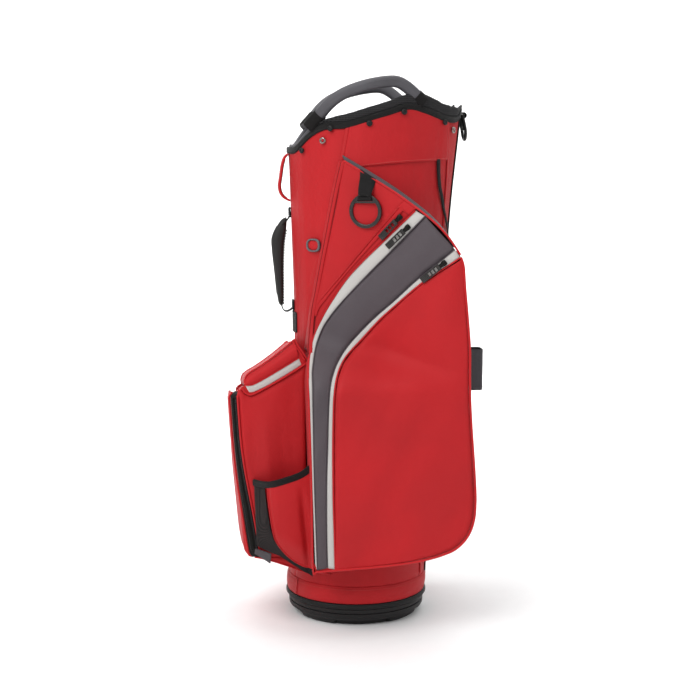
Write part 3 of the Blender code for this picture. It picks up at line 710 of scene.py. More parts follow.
def base():
    inner = FOOT_RIM_RADIUS - 0.006
    profile = [(0.0, 0.0), (0.060, 0.0), (0.0995, 0.0), (0.1035, 0.0004), (0.1065, 0.0025), (0.1080, 0.0062),
               (0.1084, 0.0072), (0.1088, 0.0085), (0.1112, 0.0115), (0.1122, 0.0122), (0.1150, 0.0126),
               (0.1158, 0.0140), (0.1164, 0.0210), (0.1146, 0.0216), (0.1146, 0.0230), (0.1166, 0.0238),
               (0.1172, 0.0292), (0.1165, 0.0300), (inner, 0.0300), (inner, 0.0240), (0.050, 0.0240),
               (0.0, 0.0240)]
    foot = turned("base_foot_moulding", profile, "foot", 192, foot_notch)
    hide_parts("base_foot")
    welt_low = FOOT_HEIGHT + 0.0003
    welt = turned("base_welt_rubber", [(0.1130, welt_low), (0.1180, welt_low), (0.1200, welt_low + 0.0010),
                                       (0.1212, welt_low + 0.0030), (0.1214, welt_low + 0.0060),
                                       (0.1204, welt_low + 0.0088), (0.1186, welt_low + 0.0098),
                                       (0.1130, welt_low + 0.0098)], "rubber")
    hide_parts("base_welt")
    rows = []
    hem_low = FOOT_HEIGHT + 0.0100
    for level in range(19):
        share = level / 18
        z = hem_low + (HEM_TOP + 0.0015 - hem_low) * share
        bulge = 0.0022 * math.sin(math.pi * min(share * 1.05, 1.0)) ** 0.7
        line = []
        for k in range(120):
            turn = 3.0 * k
            ripple = 0.0004 * noise.noise(Vector((turn * 0.16, z * 30, 1.0)))
            line.append(on_body(turn, z, 0.0005 + bulge + ripple))
        rows.append(line)
    fold_in = [on_body(3.0 * k, HEM_TOP + 0.0012, -0.0006) for k in range(120)]
    rows.append(fold_in)
    hem = sheet("base_hem_cloth", rows, "red", 0.0014, wrap=True)
    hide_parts("base_hem_band")
    ring = [on_body(2.0 * k, HEM_TOP - 0.0035, 0.0022) for k in range(181)]
    stitches("hem_stitches", ring, [body_normal(2.0 * k, HEM_TOP) for k in range(181)], "thread_red", 0.0036)
    seam = [on_body(27.0, z, 0.0032) for z in steps(0.042, HEM_TOP, 12)]
    sweep("hem_seam", seam, rounded(0.003, 0.0010, 0.0004), [body_normal(27.0, 0.05)] * 13, "red_piping")
    pad_rows = [(0.0, 0.0286), (0.050, 0.0284), (0.085, 0.0280), (0.096, 0.0270), (0.0985, 0.0260),
                (0.0960, 0.0246), (0.050, 0.0244), (0.0, 0.0244)]
    pad = turned("floor_pad_cloth", pad_rows, "black", 64)
    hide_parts("floor_pad")


# ---- collar ----------------------------------------------------------------------------------
def rim_ring(name, turns, shape, look, closed, base_height=rim, ripple=0.0):
    """Bar that follows the rim.  The shape's points are (outwards, up) from the rim line."""
    verts = []
    for turn in turns:
        wave = ripple * noise.noise(Vector((fold(turn) * 0.25, 4.0 if turn < 180 else 8.0, 0.5)))
        for out, up in shape(turn) if callable(shape) else shape:
            verts.append(on_body(turn, base_height(turn) + up + wave, out + wave))
    sides = len(verts) // len(turns)
    faces = grid_faces(len(turns), sides, closed, True)
    if not closed:
        faces += end_caps(len(turns), sides)
    made = piece(name, verts, faces, look)
    face_out(made)
    return made


def shifted(points, out, up):
    return [(a + out, b + up) for a, b in points]


HANDLE_POINTS = [(-0.083, 0.8270), (-0.070, 0.8430), (-0.055, 0.8610), (-0.038, 0.8745), (-0.017, 0.8845),
                 (0.010, 0.8925), (0.039, 0.8970), (0.055, 0.8958), (0.069, 0.8885), (0.083, 0.8770),
                 (0.095, 0.8650)]
HANDLE_SIZE = 0.0200
PAD_HALF_GAP = 41.0


def handle_path(side, count=70):
    centre, half_width, depth = section(rim(60) + 0.017)
    points = []
    for x, z in catmull(HANDLE_POINTS, count):
        share = (x - centre) / half_width
        points.append((x, side * (depth - 0.0045) * math.sqrt(1 - share * share), z))
    return points


def collar():
    full = steps(0.0, 358.0, 179)
    binding = rim_ring("collar_binding_cloth", full,
                       shifted(rounded(0.0064, 0.0108, 0.0026, 3), -0.0004, 0.0052), "binding", True,
                       ripple=0.0004)
    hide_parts("collar_binding")
    inside = rim_ring("collar_frame_moulding", full, shifted(rounded(0.0040, 0.0440, 0.0012, 2), -0.0065,
                                                             -0.0125),
                      "handle", True)
    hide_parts("collar_frame")
    for word, mirror in HALVES:
        ring = [on_body(mirror(t), rim(t) + 0.0026, 0.0030) for t in steps(2, 176, 140)]
        stitches(f"binding_stitches_{word}", ring, [body_normal(mirror(t), 0.83) for t in steps(2, 176, 140)],
                 "thread_black", 0.0040, 0.0026, 0.00030)

    def pad_shape(turn):
        height = pad_top(turn) - rim(turn) - 0.0095
        quilt = 0.0004 * math.sin(math.radians(turn * 24))
        points = rounded(0.0125 + quilt, height, 0.0050, 5)
        return shifted(points, -0.0042, 0.0095 + height / 2)

    pad = rim_ring("collar_pad_mesh", steps(PAD_HALF_GAP, 360 - PAD_HALF_GAP, 200), pad_shape, "mesh", False,
                   ripple=0.0006)
    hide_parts("collar_pad")
    def lip_shape(turn):
        tall = 0.0150 + 0.0050 * ease((fold(turn) - 6) / 30)
        return [(-0.0022, 0.0100), (-0.0018, tall * 0.76), (-0.0026, tall * 0.94), (-0.0044, tall),
                (-0.0066, tall * 0.97), (-0.0078, tall * 0.88), (-0.0082, 0.0100)]

    lip = rim_ring("front_lip_moulding", steps(-46.0, 46.0, 60), lip_shape, "handle", False)
    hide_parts("front_lip")
    for side, word in SIDES:
        path = handle_path(side)
        ups = []
        for x, y, z in path:
            up = Vector((x - 0.03, 0, (z - 0.60))).normalized()
            ups.append(up)
        if side == FAR:
            path = [(x + 0.0045, y, z + 0.0030) for x, y, z in path]
        handle = sweep(f"handle_{word}_moulding", path, rounded(HANDLE_SIZE, HANDLE_SIZE * 0.92, 0.0068,
                                                                4), ups,
                       "handle")
        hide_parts(f"handle_{word}")
        line = [Vector(p) + Vector((0, side * HANDLE_SIZE * 0.492, 0.0030)) for p in path[6:-5]]
        sweep(f"handle_{word}_parting", line, circle(0.0006, 6), (0, 0, 1), "handle")
        for end, spots in (("front", range(0, 9)), ("rear", range(69, 63, -1))):
            count = len(spots)
            grow = [1.17 - 0.11 * ease(k / (count - 1)) for k in range(count)]
            sweep(f"handle_wrap_{word}_{end}", [path[k] for k in spots], rounded(0.0200, 0.0200, 0.0075, 4),
                  [ups[k] for k in spots], "black", scale=grow)


RIVETS = [(31.8, 0.7885), (56.5, 0.8232), (82.0, 0.8308), (103.5, 0.8490), (136.5, 0.8340)]
EYELETS = [(50.4, 0.8040), (149.6, 0.8222)]


def local_frame(origin, along, normal):
    x_axis = Vector(along).normalized()
    z_axis = Vector(normal)
    z_axis = (z_axis - x_axis * z_axis.dot(x_axis)).normalized()
    y_axis = z_axis.cross(x_axis)
    return Matrix.Translation(Vector(origin)) @ Matrix((x_axis, y_axis, z_axis)).transposed().to_4x4()


def turned_at(name, place, profile, look, sides=28, body="root"):
    """Small turned fitting on a surface; the profile starts and ends on its axis."""
    verts = []
    for side in range(sides):
        angle = 2 * math.pi * side / sides
        verts += [place @ Vector((r * math.cos(angle), r * math.sin(angle), z)) for r, z in profile]
    made = piece(name, verts, grid_faces(sides, len(profile), True, False), look, body)
    face_out(made, weld=0.000005)
    made.data.set_sharp_from_angle(angle=math.radians(35))
    return made


def rivets():
    cap = [(0.0, -0.0012), (0.0044, -0.0012), (0.0050, 0.0002), (0.0047, 0.0014), (0.0036, 0.0024),
           (0.0024, 0.0027), (0.0021, 0.0022), (0.0, 0.0021)]
    ring = [(0.0021, -0.0008), (0.0052, -0.0008), (0.0056, 0.0004), (0.0050, 0.0016), (0.0038, 0.0019),
            (0.0028, 0.0012), (0.0021, 0.0004), (0.0021, -0.0008)]
    centre = [(0.0, -0.0010), (0.0020, -0.0010), (0.0020, 0.0002), (0.0012, 0.0008), (0.0, 0.0009)]
    for word, mirror in HALVES:
        caps, rings, middles = [], [], []
        for turn, z in RIVETS:
            angle = mirror(turn)
            place = local_frame(on_body(angle, z, 0.0040), (0, 0, 1), body_normal(angle, z))
            caps.append(turned_at(f"rivet_{word}_{len(caps)}", place, cap, "foot"))
        for turn, z in EYELETS:
            angle = mirror(turn)
            place = local_frame(on_body(angle, z, 0.0026), (0, 0, 1), body_normal(angle, z))
            rings.append(turned_at(f"eyelet_{word}_{len(rings)}", place, ring, "chrome"))
            middles.append(turned_at(f"eyelet_cloth_{word}_{len(rings)}", place, centre, "red"))
        join(f"collar_rivets_{word}", caps)
        join(f"cover_snaps_{word}", rings)
        join(f"snap_cloth_{word}", middles)


# ---- divider ---------------------------------------------------------------------------------
DIVIDER_FOOT = 0.050
ROW_FOOT = [-0.059, 0.0, 0.059]
ROW_TOP = [-0.0375, 0.030, 0.0975]
ROW_HALF = [0.085, 0.105, 0.088]
CROSSINGS = [(-0.030, 0.030), (-0.053, 0.0, 0.053), (-0.053, 0.0, 0.053), (-0.030, 0.030)]


def divider_top(x):
    return 0.790 + 0.22 * (x - 0.03)


def padded_sheet(name, node, foot_a, foot_b, top_a, top_b):
    """Divider sheet between two upright edges, its upper edge rolled over foam."""
    def sagged(share, across):
        foot = Vector(foot_a).lerp(Vector(foot_b), across)
        point = foot.lerp(Vector(top_a).lerp(Vector(top_b), across), share)
        sag = 0.0018 * noise.noise(Vector((point.x * 22 + point.y * 18, point.z * 5, len(name) * 1.7)))
        return point + Vector((sag, sag, 0)) * math.sin(math.pi * across)

    rows = point_grid(20, 14, sagged)
    facing = (Vector(foot_b) - Vector(foot_a)).cross(Vector((0, 0, 1)))
    cloth = sheet(name + "_web", rows, "lining", 0.0020, facing=facing)
    roll_path = [Vector(top_a).lerp(Vector(top_b), k / 24) for k in range(25)]
    roll = sweep(name + "_roll", roll_path, [(a, b * 1.5 - 0.004) for a, b in circle(0.0046, 12)], (0, 0, 1),
                 "black", scale=[0.82 + 0.18 * math.sin(math.pi * k / 24) ** 0.5 for k in range(25)])
    made = join(name, [roll, cloth])
    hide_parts(node)


def divider():
    clear = 0.0030
    for k, (foot, top, width) in enumerate(zip(ROW_FOOT, ROW_TOP, ROW_HALF)):
        padded_sheet(f"divider_row_{k + 1}_padded", f"divider_row_{k + 1}", (foot, -width, DIVIDER_FOOT),
                     (foot, width, DIVIDER_FOOT), (top, -width, divider_top(top)),
                     (top, width, divider_top(top)))
    foots = [-0.089] + ROW_FOOT + [0.103]
    tops = [-0.088] + ROW_TOP + [0.155]
    for row, places in enumerate(CROSSINGS):
        for number, y in enumerate(places):
            name = f"divider_cell_{row + 1}_{number + 1}"
            a_top, b_top = tops[row] + clear, tops[row + 1] - clear
            padded_sheet(name + "_padded", name, (foots[row] + clear, y, DIVIDER_FOOT),
                         (foots[row + 1] - clear, y, DIVIDER_FOOT), (a_top, y, divider_top(a_top)),
                         (b_top, y, divider_top(b_top)))
    for side, word in SIDES:
        rod = sweep(f"stay_{word}_rod", [(0.030 + 0.034 * t, side * 0.100, 0.050 + 0.740 * t)
                                         for t in steps(0, 1, 20)], circle(0.0035, 14), (1, 0, 0), "handle")
        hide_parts(f"stay_{word}")


# ---- side pockets ----------------------------------------------------------------------------
# seams on the pocket's front, as X against height
FRONT_EDGE = [(-0.0317, 0.7714), (-0.0400, 0.7350), (-0.0500, 0.6820), (-0.0620, 0.6150), (-0.0705, 0.5650),
              (-0.0765, 0.5310)]
SLOT_TOP = [(0.0595, 0.7052), (0.0111, 0.6443), (-0.0373, 0.5833), (-0.0650, 0.5480), (-0.0765, 0.5310)]
SLOT_LOW = [(-0.0765, 0.5310), (-0.0800, 0.5000), (-0.0850, 0.4620)]
STRIP2_LEFT = [(0.0764, 0.6935), (0.0344, 0.6490), (-0.0219, 0.5889), (-0.0527, 0.5408), (-0.0669, 0.5126),
               (-0.0808, 0.4808), (-0.0901, 0.4530), (-0.0943, 0.4215), (-0.0935, 0.3861), (-0.0905, 0.2845),
               (-0.0854, 0.1283)]
DARK_LEFT = [(0.0906, 0.6847), (0.0413, 0.6287), (-0.0277, 0.5525), (-0.0571, 0.5134), (-0.0726, 0.4810),
             (-0.0832, 0.4509), (-0.0880, 0.4215), (-0.0875, 0.3375), (-0.0863, 0.2564), (-0.0838, 0.1753),
             (-0.0820, 0.1190)]
STRIP3_LEFT = [(0.1368, 0.6331), (0.0841, 0.5864), (0.0468, 0.5480), (0.0132, 0.5156), (-0.0141, 0.4858),
               (-0.0361, 0.4591), (-0.0513, 0.4378), (-0.0606, 0.4113), (-0.0635, 0.3635), (-0.0650, 0.3105),
               (-0.0664, 0.2564), (-0.0666, 0.1748), (-0.0653, 0.1215)]
STRIP3_RIGHT = [(0.1456, 0.6201), (0.0907, 0.5806), (0.0346, 0.5263), (0.0150, 0.5050), (-0.0086, 0.4778),
                (-0.0352, 0.4504), (-0.0484, 0.4285), (-0.0541, 0.4036), (-0.0558, 0.3635), (-0.0564, 0.3100),
                (-0.0558, 0.2329), (-0.0545, 0.1883), (-0.0528, 0.1190)]
TOP_EDGE = [(-0.0317, 0.7714), (0.0110, 0.7447), (0.0536, 0.7165), (0.0982, 0.6818), (0.1251, 0.6540),
            (0.1456, 0.6245)]
REAR_EDGE = [(0.1466, 0.6205), (0.1508, 0.6080), (0.1524, 0.5920), (0.1538, 0.5720), (0.1560, 0.5500),
             (0.1602, 0.5050), (0.1628, 0.4700), (0.1632, 0.4350), (0.1638, 0.3950), (0.1665, 0.3500),
             (0.1712, 0.2900), (0.1742, 0.2440), (0.1746, 0.2220), (0.1728, 0.1970), (0.1668, 0.1760),
             (0.1560, 0.1590), (0.1410, 0.1460), (0.1230, 0.1385), (0.1000, 0.1320), (0.0700, 0.1265),
             (0.0200, 0.1215), (-0.0294, 0.1187), (-0.0520, 0.1175)]
BOTTOM_LEFT = [(-0.0520, 0.1175), (-0.0840, 0.1160)]
LEFT_EDGE = [(-0.0840, 0.1160), (-0.0888, 0.1250), (-0.0912, 0.2845), (-0.0942, 0.3861), (-0.0950, 0.4215),
             (-0.0908, 0.4530), (-0.0830, 0.4680)]


def on_pocket(x, z, lift, side):
    """Point standing off the pocket's front along its normal."""
    h = 0.003
    slope_x = (pocket_depth(x + h, z) - pocket_depth(x - h, z)) / (2 * h)
    slope_z = (pocket_depth(x, z + h) - pocket_depth(x, z - h)) / (2 * h)
    normal = Vector((-slope_x, 1.0, -slope_z)).normalized()
    point = Vector((x, pocket_depth(x, z), z)) + normal * lift
    return Vector((point.x, side * point.y, point.z))


def cloth_patch(name, edge_a, edge_b, look, side, rows, cols, pillow=0.003, tuck=0.0022, base_lift=0.0,
                ruck_depth=0.0,
                ruck_scale=(12, 12, 12), seed=0.0, thickness=0.0012, surface=on_pocket, power=0.45,
                gathers=0.0):
    """Sewn panel between two seams, fuller in its middle, tucked down at its seams."""
    a, b = catmull(edge_a, rows + 1), catmull(edge_b, rows + 1)

    def point(v, u):
        r = round(v * rows)
        x, z = a[r] * (1 - u) + b[r] * u
        full = (4 * u * (1 - u)) ** power * (4 * v * (1 - v) + 0.02) ** (power * 0.7)
        near_edge = 1 - ease(min(u, 1 - u) * cols / 3.0)
        across, along = 0.88 * x - 0.47 * z, 0.47 * x + 0.88 * z
        wave = ruck_depth * ruck((across, along, 0), ruck_scale, seed) * min(full, 1.0)
        pinch = gathers * math.sin(v * rows * 0.9 + 3 * noise.noise(Vector((v * 9, seed, 0)))) * near_edge
        return surface(x, z, base_lift + pillow * full - tuck * near_edge + wave + pinch, side)

    return sheet(name, point_grid(rows, cols, point), look, thickness, facing=(0, side, 0))


def surface_ups(surface, line, lift, side):
    """Directions off the cloth at each point of a line on it."""
    return [surface(x, z, lift + 0.01, side) - surface(x, z, lift, side) for x, z in line]


def piping(name, edge, lift, radius, look, side, count=120, surface=on_pocket, body="root"):
    path2 = catmull(edge, count)
    path = [surface(x, z, lift, side) for x, z in path2]
    ups = surface_ups(surface, path2, lift, side)
    return sweep(name, path, circle(radius, 9), ups, look, body=body)


def seam_stitches(name, edge, offset, lift, look, side, pitch=0.0034, count=150, surface=on_pocket):
    """Stitch row beside a seam; offset is sideways from the seam in the panel."""
    path2 = catmull(edge, count)
    run = np.gradient(path2, axis=0)
    run /= np.linalg.norm(run, axis=1, keepdims=True)
    path2 = path2 + np.stack([run[:, 1], -run[:, 0]], axis=1) * offset
    path = [surface(x, z, lift, side) for x, z in path2]
    ups = surface_ups(surface, path2, lift, side)
    return stitches(name, path, ups, look, pitch, pitch * 0.64, 0.00024)


def pocket_back(x, z):
    """Distance of the pocket's back: on the body, and standing off it past the spine side."""
    centre, half_width, depth = section(z)
    leave = centre + 0.8 * half_width
    if x > leave:
        return min(0.6 * depth + 0.75 * (x - leave) - 0.012, POCKET_FACE - 0.040)
    return max(body_depth(x, z) - 0.001, 0.040)


POCKET_MIDDLE = (0.05, 0.36)


def gusset(name, edge, look, side, count, drop=0.0030, bow=0.002):
    """Side wall from a front seam back to the body or the back panel."""
    path2 = catmull(edge, count)
    grid = []
    for x, z in path2:
        front = pocket_depth(x, z) - drop
        back = min(pocket_back(x, z), front - 0.001)
        line = []
        for k in range(9):
            t = k / 8
            away = (Vector((x, z)) - Vector(POCKET_MIDDLE)).normalized() * (bow * math.sin(math.pi * t))
            line.append((x + away.x, side * (front + (back - front) * t), z + away.y))
        grid.append(line)
    centre = Vector((*POCKET_MIDDLE, side * 0.1)).xzy
    made = sheet(name, grid, look, 0.0012, facing=(0, side, 0))
    score = 0.0
    for polygon in made.data.polygons:
        score += polygon.normal.dot(polygon.center - centre) * polygon.area
    if score < 0:
        made.data.flip_normals()
    return made


def zip_teeth(name, edge, lift, side, look="dark_metal", pitch=0.0021, half_width=0.0024, height=0.0010,
              surface=on_pocket):
    """Interlocking coil teeth along a seam."""
    length = path_length([surface(x, z, lift, side) for x, z in catmull(edge, 60)])
    count = int(length / pitch)
    path2 = catmull(edge, count)
    verts, faces = [], []
    run = np.gradient(path2, axis=0)
    run /= np.linalg.norm(run, axis=1, keepdims=True)
    for k in range(count):
        x, z = path2[k]
        here = surface(x, z, lift, side)
        ahead = surface(x + run[k][0] * 0.001, z + run[k][1] * 0.001, lift, side)
        up = (surface(x, z, lift + 0.01, side) - here).normalized()
        along = (ahead - here).normalized()
        across = along.cross(up).normalized()
        sideways = (0.6 if k % 2 else -0.6) * half_width * 0.4
        base = len(verts)
        for dz, shrink in ((-0.0003, 1.0), (height, 0.72)):
            for da, dc in ((-0.38, -1), (0.38, -1), (0.38, 1), (-0.38, 1)):
                reach = dc * half_width * 0.75 * shrink + sideways
                verts.append(here + along * (da * pitch * shrink) + across * reach + up * dz)
        faces += [(base, base + 3, base + 2, base + 1), (base + 4, base + 5, base + 6, base + 7)]
        for j in range(4):
            j2 = (j + 1) % 4
            faces.append((base + j, base + j2, base + 4 + j2, base + 4 + j))
    made = piece(name, verts, faces, look, smooth=False)
    face_out(made)
    return made


RING_PANEL_RIGHT = [(-0.0285, 0.7694), (0.0110, 0.7447), (0.0400, 0.7258), (0.0610, 0.7105), (0.0580, 0.7030),
                    (0.0111, 0.6443), (-0.0373, 0.5833), (-0.0650, 0.5480), (-0.0760, 0.5316)]


def middle_line(edge_a, edge_b, share=0.5, count=40):
    a, b = catmull(edge_a, count), catmull(edge_b, count)
    return [tuple(p) for p in a * (1 - share) + b * share]


def trimmed(edge, start, end, count=40):
    """Part of a curve between two shares of its length."""
    fine = catmull(edge, 200)
    low, high = int(start * 199), int(end * 199)
    picks = np.linspace(low, high, count).astype(int)
    return [tuple(fine[k]) for k in picks]


def side_pocket(side, word):
    n = f"pocket_{word}"
    ring_panel = cloth_patch(f"{n}_ring_panel", FRONT_EDGE, RING_PANEL_RIGHT, "red", side, 90, 34,
                             0.0016, 0.0010, 0.0006, 0.0012, (14, 9, 1), 2.0, power=0.6)
    slot_high = [(0.0610, 0.7075)] + SLOT_TOP[1:] + SLOT_LOW[1:]
    slot_base = [(0.0770, 0.6960)] + STRIP2_LEFT[1:6] + [(-0.0880, 0.4600)]
    cloth_patch(f"{n}_slot_band", slot_high, slot_base, "red_shaded", side, 90, 12,
                0.0006, 0.0012, -0.0012, 0.0006, (30, 30, 1), 5.0)
    cloth_patch(f"{n}_upper_strip", STRIP2_LEFT, DARK_LEFT, "light", side, 120, 10,
                0.0008, 0.0010, 0.0004, 0.0, power=0.5)
    cloth_patch(f"{n}_dark_panel", DARK_LEFT, STRIP3_LEFT, "dark", side, 130, 30,
                0.0040, 0.0026, 0.0002, 0.0042, (30, 8, 1), 11.0, gathers=0.0004)
    cloth_patch(f"{n}_lower_strip", STRIP3_LEFT, STRIP3_RIGHT, "light", side, 120, 10,
                0.0008, 0.0010, 0.0004, 0.0)
    big_left = [(0.1480, 0.6175)] + STRIP3_RIGHT[1:]
    cloth_patch(f"{n}_main_panel", big_left, REAR_EDGE, "red", side, 150, 70,
                0.0055, 0.0030, -0.0002, 0.0068, (19, 4.2, 1), 17.0, power=0.42, gathers=0.0005)
    cloth_patch(f"{n}_bottom_band", [(-0.0888, 0.1300), (-0.0700, 0.1245), (-0.0500, 0.1215)],
                [(-0.0845, 0.1160), (-0.0700, 0.1165), (-0.0500, 0.1174)], "red_shaded", side, 24, 8,
                0.0006, 0.0012,
                -0.0006)
    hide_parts(f"side_pocket_{word}")
    gusset(f"{n}_top_gusset", TOP_EDGE, "dark", side, 60, bow=0.0095)
    gusset(f"{n}_rear_gusset", [TOP_EDGE[-1]] + REAR_EDGE, "dark", side, 130, bow=0.0042)
    gusset(f"{n}_bottom_gusset", BOTTOM_LEFT, "red_shaded", side, 12)
    gusset(f"{n}_left_gusset", LEFT_EDGE, "red_shaded", side, 60, bow=0.001)
    back = []
    right = catmull([TOP_EDGE[-1]] + REAR_EDGE[:17], 60)
    for x_edge, z in right:
        centre, half_width, _ = section(z)
        start = centre + 0.72 * half_width
        line = []
        for k in range(9):
            x = start + (x_edge - start) * k / 8
            line.append((x, side * (pocket_back(x, z) + 0.0008), z))
        back.append(line)
    sheet(f"{n}_back", back, "black", 0.0012, facing=(0, -side, 0))
    for end, edge, lift, radius, look in (
            ("piping_top", TOP_EDGE, 0.0010, 0.0017, "red_piping"),
            ("piping_rear", REAR_EDGE + BOTTOM_LEFT[1:], 0.0008, 0.0019, "red_piping"),
            ("piping_left", LEFT_EDGE, 0.0002, 0.0014, "red_piping"),
            ("piping_main", STRIP3_RIGHT, 0.0006, 0.0013, "red_piping"),
            ("piping_slot", trimmed(STRIP2_LEFT, 0.0, 0.52), 0.0006, 0.0012, "red_piping"),
            ("cord_dark", DARK_LEFT, 0.0001, 0.0009, "dark"),
            ("cord_strip", STRIP3_LEFT, 0.0001, 0.0008, "dark")):
        piping(f"{n}_{end}", edge, lift, radius, look, side, 200 if end == "piping_rear" else 120)
    seam_stitches(f"{n}_stitch_main", STRIP3_RIGHT, -0.0042, 0.0016, "thread_red", side)
    seam_stitches(f"{n}_stitch_slot", SLOT_TOP[:4], 0.0026, 0.0014, "thread_red", side)
    lip = middle_line(slot_high, slot_base, 0.36)
    cloth_patch(f"{n}_slot_lip", trimmed(slot_high, 0.02, 0.80), trimmed(lip, 0.02, 0.80), "red", side, 90, 6,
                0.0004, 0.0002, 0.0009)
    cloth_patch(f"{n}_slot_end", [(0.0500, 0.6985), (0.0675, 0.6865)], [(0.0605, 0.7095), (0.0780, 0.6975)],
                "red", side, 12, 10, 0.0010, 0.0006, 0.0014)
    seam_path = FRONT_EDGE + SLOT_LOW[1:]
    seam_line = catmull(seam_path, 90)
    fold_path = [on_pocket(x - 0.0012, z, 0.0006, side) for x, z in seam_line]
    fold_ups = surface_ups(on_pocket, seam_line, 0.0, side)
    sweep(f"{n}_front_seam", fold_path, rounded(0.0058, 0.0022, 0.0010), fold_ups, "red_shaded")
    # Two dark lines sunk either side of the front seam: painted shadow in the seam's grooves.
    for number, shift_x in ((1, -0.0046), (2, 0.0024)):
        groove = [on_pocket(x + shift_x, z, -0.0002, side) for x, z in seam_line]
        sweep(f"{n}_seam_painted_shadow_{number}", groove, circle(0.0007, 6), fold_ups, "painted_seam_shadow")
    wall = []
    for x, z in catmull(seam_path, 60):
        skin = body_depth(x - 0.004, z)
        edge_point = on_pocket(x - 0.0040, z, -0.0002, side)
        wall.append([(x - 0.0050 - 0.0010 * k,
                      side * (abs(edge_point.y) + (skin - abs(edge_point.y)) * k / 3), z)
                     for k in range(4)])
    sheet(f"{n}_seam_wall", wall, "red_shaded", 0.0008, facing=(-1, side * 0.4, 0))


# ---- ball and accessory pockets ---------------------------------------------------------------
BALL_FRONTS = [(0.118, -0.1905), (0.131, -0.1975), (0.200, -0.2050), (0.300, -0.2130), (0.385, -0.2185),
               (0.420, -0.2200), (0.480, -0.2200)]
CORNER = 0.020
WING_X = -0.0965


def lean(y):
    """How much lower the front pocket's top lies there than at its near side."""
    return 0.135 * (y + FRONT_HALF_WIDTH)


def ball_point(s, z, lift, side=FAR):
    """Point on the ball pocket; s runs along its plan from the middle of its front to a side's back."""
    front_x = spline(BALL_FRONTS, z)[0]
    flat = FRONT_HALF_WIDTH - CORNER
    arc = CORNER * math.pi / 2
    crown = 0.0040 * math.cos(min(s / flat, 1.0) * math.pi / 2)
    if s < flat:
        point, normal = (front_x - crown, s), (-1.0, 0.0)
    elif s < flat + arc:
        angle = (s - flat) / CORNER
        point = (front_x + CORNER - CORNER * math.cos(angle), flat + CORNER * math.sin(angle))
        normal = (-math.cos(angle), math.sin(angle))
    else:
        point, normal = (front_x + CORNER + s - flat - arc, FRONT_HALF_WIDTH), (0.0, 1.0)
    return Vector((point[0] + normal[0] * lift, side * (point[1] + normal[1] * lift), z))


def ball_s(x, z):
    """Place along the plan of a point at X on the side."""
    return x - spline(BALL_FRONTS, z)[0] - CORNER + FRONT_HALF_WIDTH - CORNER + CORNER * math.pi / 2


def band_start(z):
    """Where the zip band begins round the corner: further round near the bottom."""
    return FRONT_HALF_WIDTH - CORNER + 0.006 + 0.013 * ease((0.33 - z) / 0.20)


FRONT_POCKET_BOTTOM = 0.1215
BAND_WIDTH = 0.0185
BAND_BOTTOM = 0.129
BAND_TOP = 0.3985


